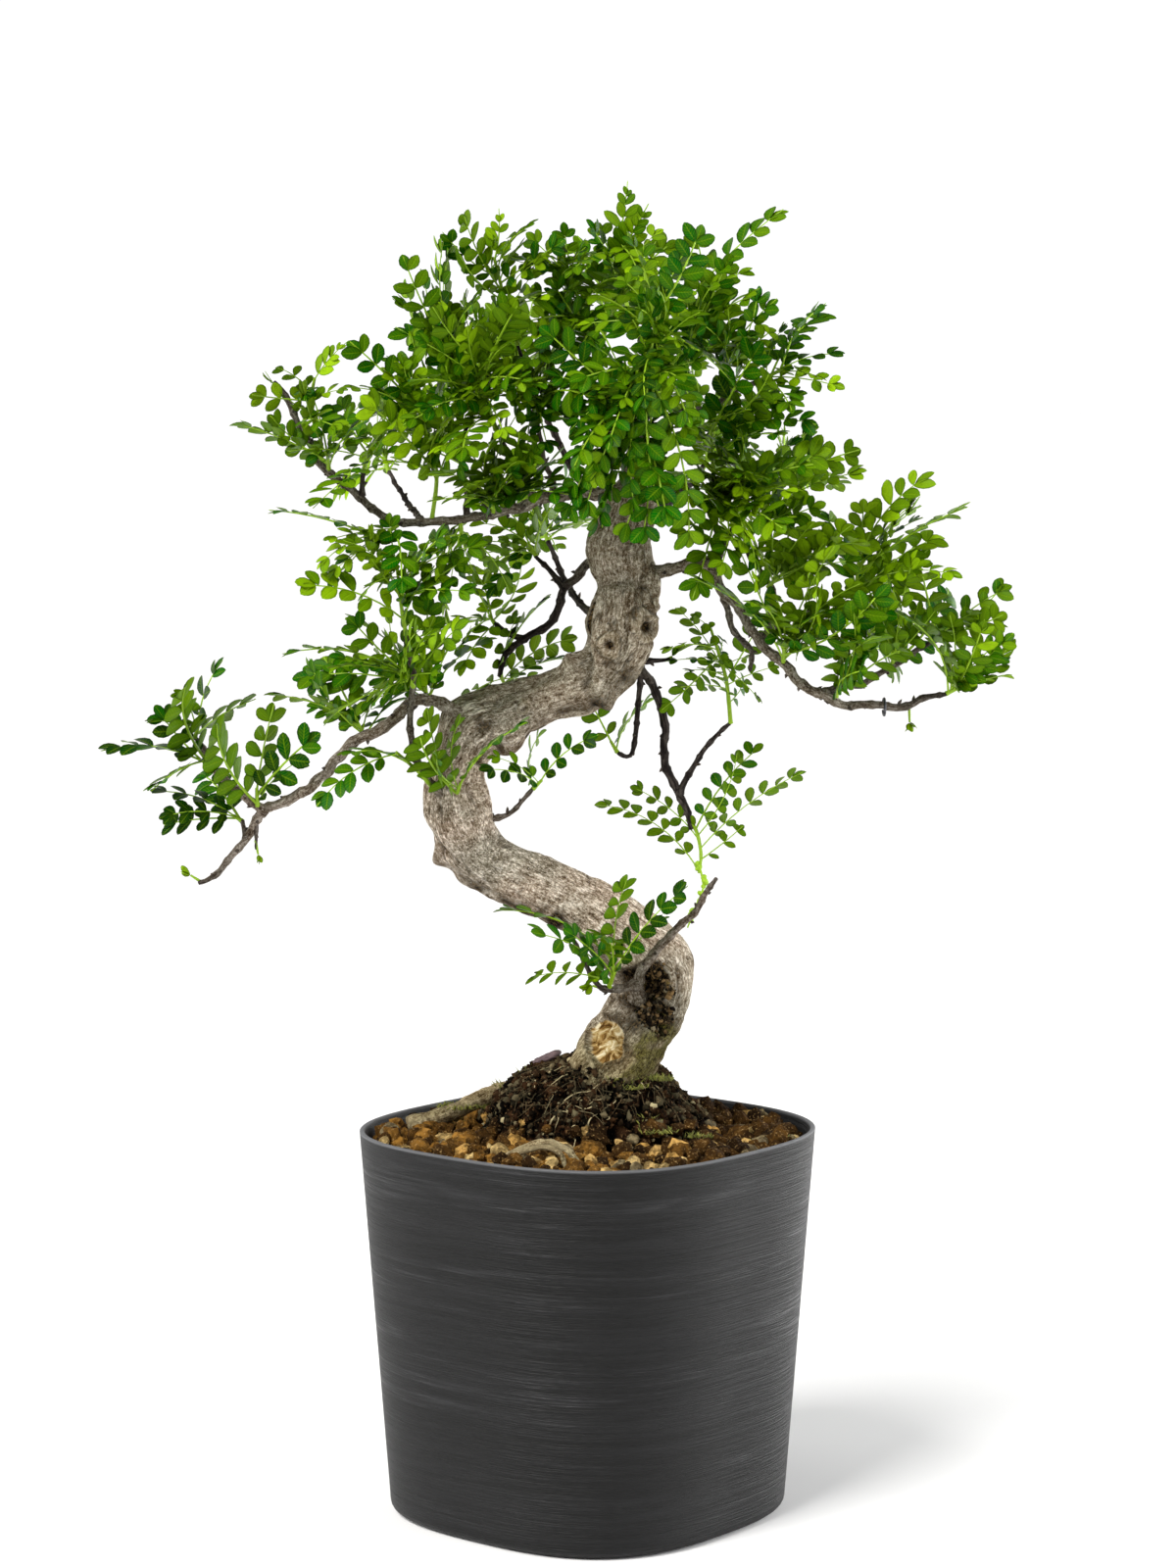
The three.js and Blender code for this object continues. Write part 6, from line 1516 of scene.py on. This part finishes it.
# flake of bark: a lumpy flattened ball, squared by (|cos|^n + |sin|^n)^(-1/n) and tipped with the slope
def makeFlake():
    p, a, n = np.linspace(-1.45, 1.45, 13)[:, None], turnsOf(40), flake["square"]
    square = (np.abs(np.cos(a)) ** n + np.abs(np.sin(a)) ** n) ** (-1 / n)
    x = np.cos(p) ** 0.5 * np.cos(a) * square * flake["length"] / 2
    y = np.cos(p) ** 0.5 * np.sin(a) * square * flake["width"] / 2
    z = np.sin(p) * flake["thickness"] / 2 + 0 * a
    net = np.stack([x, y, z], -1)
    net = net * (1 + 0.13 * grain(net, 4, 3)[..., None]) + 0.5 * grain(net, 2, 5)[..., None] * (0, 0, 1)
    poles = np.array([net[0].mean(0), net[-1].mean(0)])
    c, s = math.cos(flake["tip"]), math.sin(flake["tip"])
    turn = np.array([[c, 0, s], [0, 1, 0], [-s, 0, c]])
    net, poles = (value @ turn.T + flake["at"] for value in (net, poles))
    shell = Shell().put(closedNets(net[None], poles[None]))
    shell.build("barkFlake", [look["flake"]], "chip", ["bark_chip"])


# open loop round the right arm: (x + pitch sin(a / 2), y + R cos a, z + R sin a)
def makeWire():
    (x, y, z), loop = wire["at"], wire["loop"]
    a = wire["opening"] / 2 + (tau - wire["opening"]) * np.linspace(0, 1, 44)
    x, y, z = x + wire["pitch"] * np.sin(a / 2), y + loop * np.cos(a), z + loop * np.sin(a)
    stops = np.stack([x, y, z, 0 * a + wire["radius"]], -1)
    Shell().put(tubeNet(stops, 12)).build("wireClip", [look["wire"]], "wire", ["wire_clip"])


# moss beds: middle, reach, height and count
mossBeds = [
    ((79, -12, 168), 9, 3, 150), ((70, -4, 168), 6, 2, 60), ((17, -19, 193), 9, 3, 110),
    ((31, -16, 196), 7, 3, 90), ((-30, 22, 186), 12, 4, 120), ((-55, 16, 178), 12, 3, 120),
    ((30, -34, 176), 9, 3, 60), ((48, -24, 172), 7, 3, 50),
]


# moss: short blades that stand on their places, foot + height (up + lean), and lean a little
def makeMoss():
    shell = Shell("tone")
    ring = circle(np.array([1.0, 0, 0]), np.array([0, 1.0, 0]), 3) * 0.42
    for seed, ((x, y, z), wide, tall, count) in enumerate(mossBeds):
        n = np.arange(count)
        across, deep = strewn(wide, draw(n, seed, 91), draw(n, seed, 92))
        px, py = x + across, y + deep * 0.7
        foot = np.stack([px, py, np.maximum(moundHeight(px, py), z - 2)], -1)
        tip = foot + (scatter(n, seed, 93) * (2.4, 2.4, 0.8) + (0, 0, 0.75)) * tall * 0.7
        middle = foot + (tip - foot) * 0.5
        rings = np.stack([foot[:, None] + ring, middle[:, None] + ring * 0.8], 1)
        shell.put(closedNets(rings, np.stack([foot - (0, 0, 0.4), tip], 1)), tone=draw(n, seed, 96))
    shell.build("mossTufts", [look["moss"]], "peat")


makeFlake()
makeWire()
makeMoss()
print("stage: small pieces")

# room, light and camera: the sky is white behind and at the sides, darker overhead and in front; metres here
studio = {
    "floor": (0.98, 0.97), "half": 40, "drop": 0.0004, "side": 1.05, "top": 0.2, "front": 0.3, "sun": 3.6,
    "from": (-1.5, -1.6, 2.1), "soft": 30, "warm": (1, 0.985, 0.96),
}
areaLights = {
    "fillLeft": (6.0, (-1.5, 0.3, 0.6), (0, 0, 0.35), 1.0),
    "fillRight": (13.0, (1.3, -0.6, 0.75), (0, 0, 0.35), 1.0),
    "edge": (16.0, (1.25, 0.95, 0.35), (0.1, 0, 0.1), 0.9),
}
eye = {"at": (0, -1.765, 0.504), "down": 5.9, "sensor": 36, "lens": 93.375, "clip": (0.05, 100)}


# lamp at a place that looks at another
def addLamp(name, kind, power, at, towards, **settings):
    lamp = bpy.data.lights.new(name, kind)
    lamp.energy = power
    for setting, value in settings.items():
        setattr(lamp, setting, value)
    holder = addObject(name, lamp)
    holder.location = at
    holder.rotation_euler = (Vector(towards) - Vector(at)).to_track_quat("-Z", "Y").to_euler()


# floor: one square, in two close greys
def makeFloor():
    f, half, low = Finish("paleFloor"), studio["half"], -studio["drop"]
    one, other = (grey(level) for level in studio["floor"])
    f.surface(f.mix(f.noise(3, 2, 0.5), one, other), 0.9, gloss=0.1)
    mesh = bpy.data.meshes.new("floor")
    corners = [(x * half, y * half, low) for x, y in ((-1, -1), (1, -1), (1, 1), (-1, 1))]
    mesh.from_pydata(corners, [], [(0, 1, 2, 3)])
    mesh.materials.append(f.material)
    addObject("floor", mesh)


# sky: side grey to front grey by the way's y, then to top grey by its z
def makeSky():
    sky = Finish("studioSky", bpy.data.worlds.new("studioSky"))
    way = sky.node("TexCoord", out="Generated")
    ahead, rise = (sky.node("SeparateXYZ", {}, {0: way}, out=axis) for axis in "YZ")
    around = sky.mix(ahead.between(-0.25, -0.85), grey(studio["side"]), grey(studio["front"]))
    colour = sky.mix(rise.between(0.16, 0.6), around, grey(studio["top"]))
    back = sky.node("Background", {}, {"Color": colour, "Strength": 1.0})
    sky.node("OutputWorld", {}, {"Surface": back}, out=None)
    bpy.context.scene.world = sky.material
    bpy.context.scene.view_settings.view_transform = "Standard"


# key light from the upper left, two wide fills and one low edge light from the right
def makeLights():
    soft = math.radians(studio["soft"])
    addLamp("key", "SUN", studio["sun"], studio["from"], (0, 0, 0), angle=soft, color=studio["warm"])
    for name, (power, at, towards, size) in areaLights.items():
        addLamp(name, "AREA", power, at, towards, size=size)


# camera in front, looking down by a few degrees
def makeCamera():
    lens = bpy.data.cameras.new("camera")
    lens.sensor_width, lens.lens = eye["sensor"], eye["lens"]
    lens.clip_start, lens.clip_end = eye["clip"]
    camera = addObject("camera", lens)
    camera.location = eye["at"]
    camera.rotation_euler = (math.radians(90 - eye["down"]), 0, 0)
    bpy.context.scene.camera = camera


makeFloor()
makeSky()
makeLights()
makeCamera()
print("stage: ready")
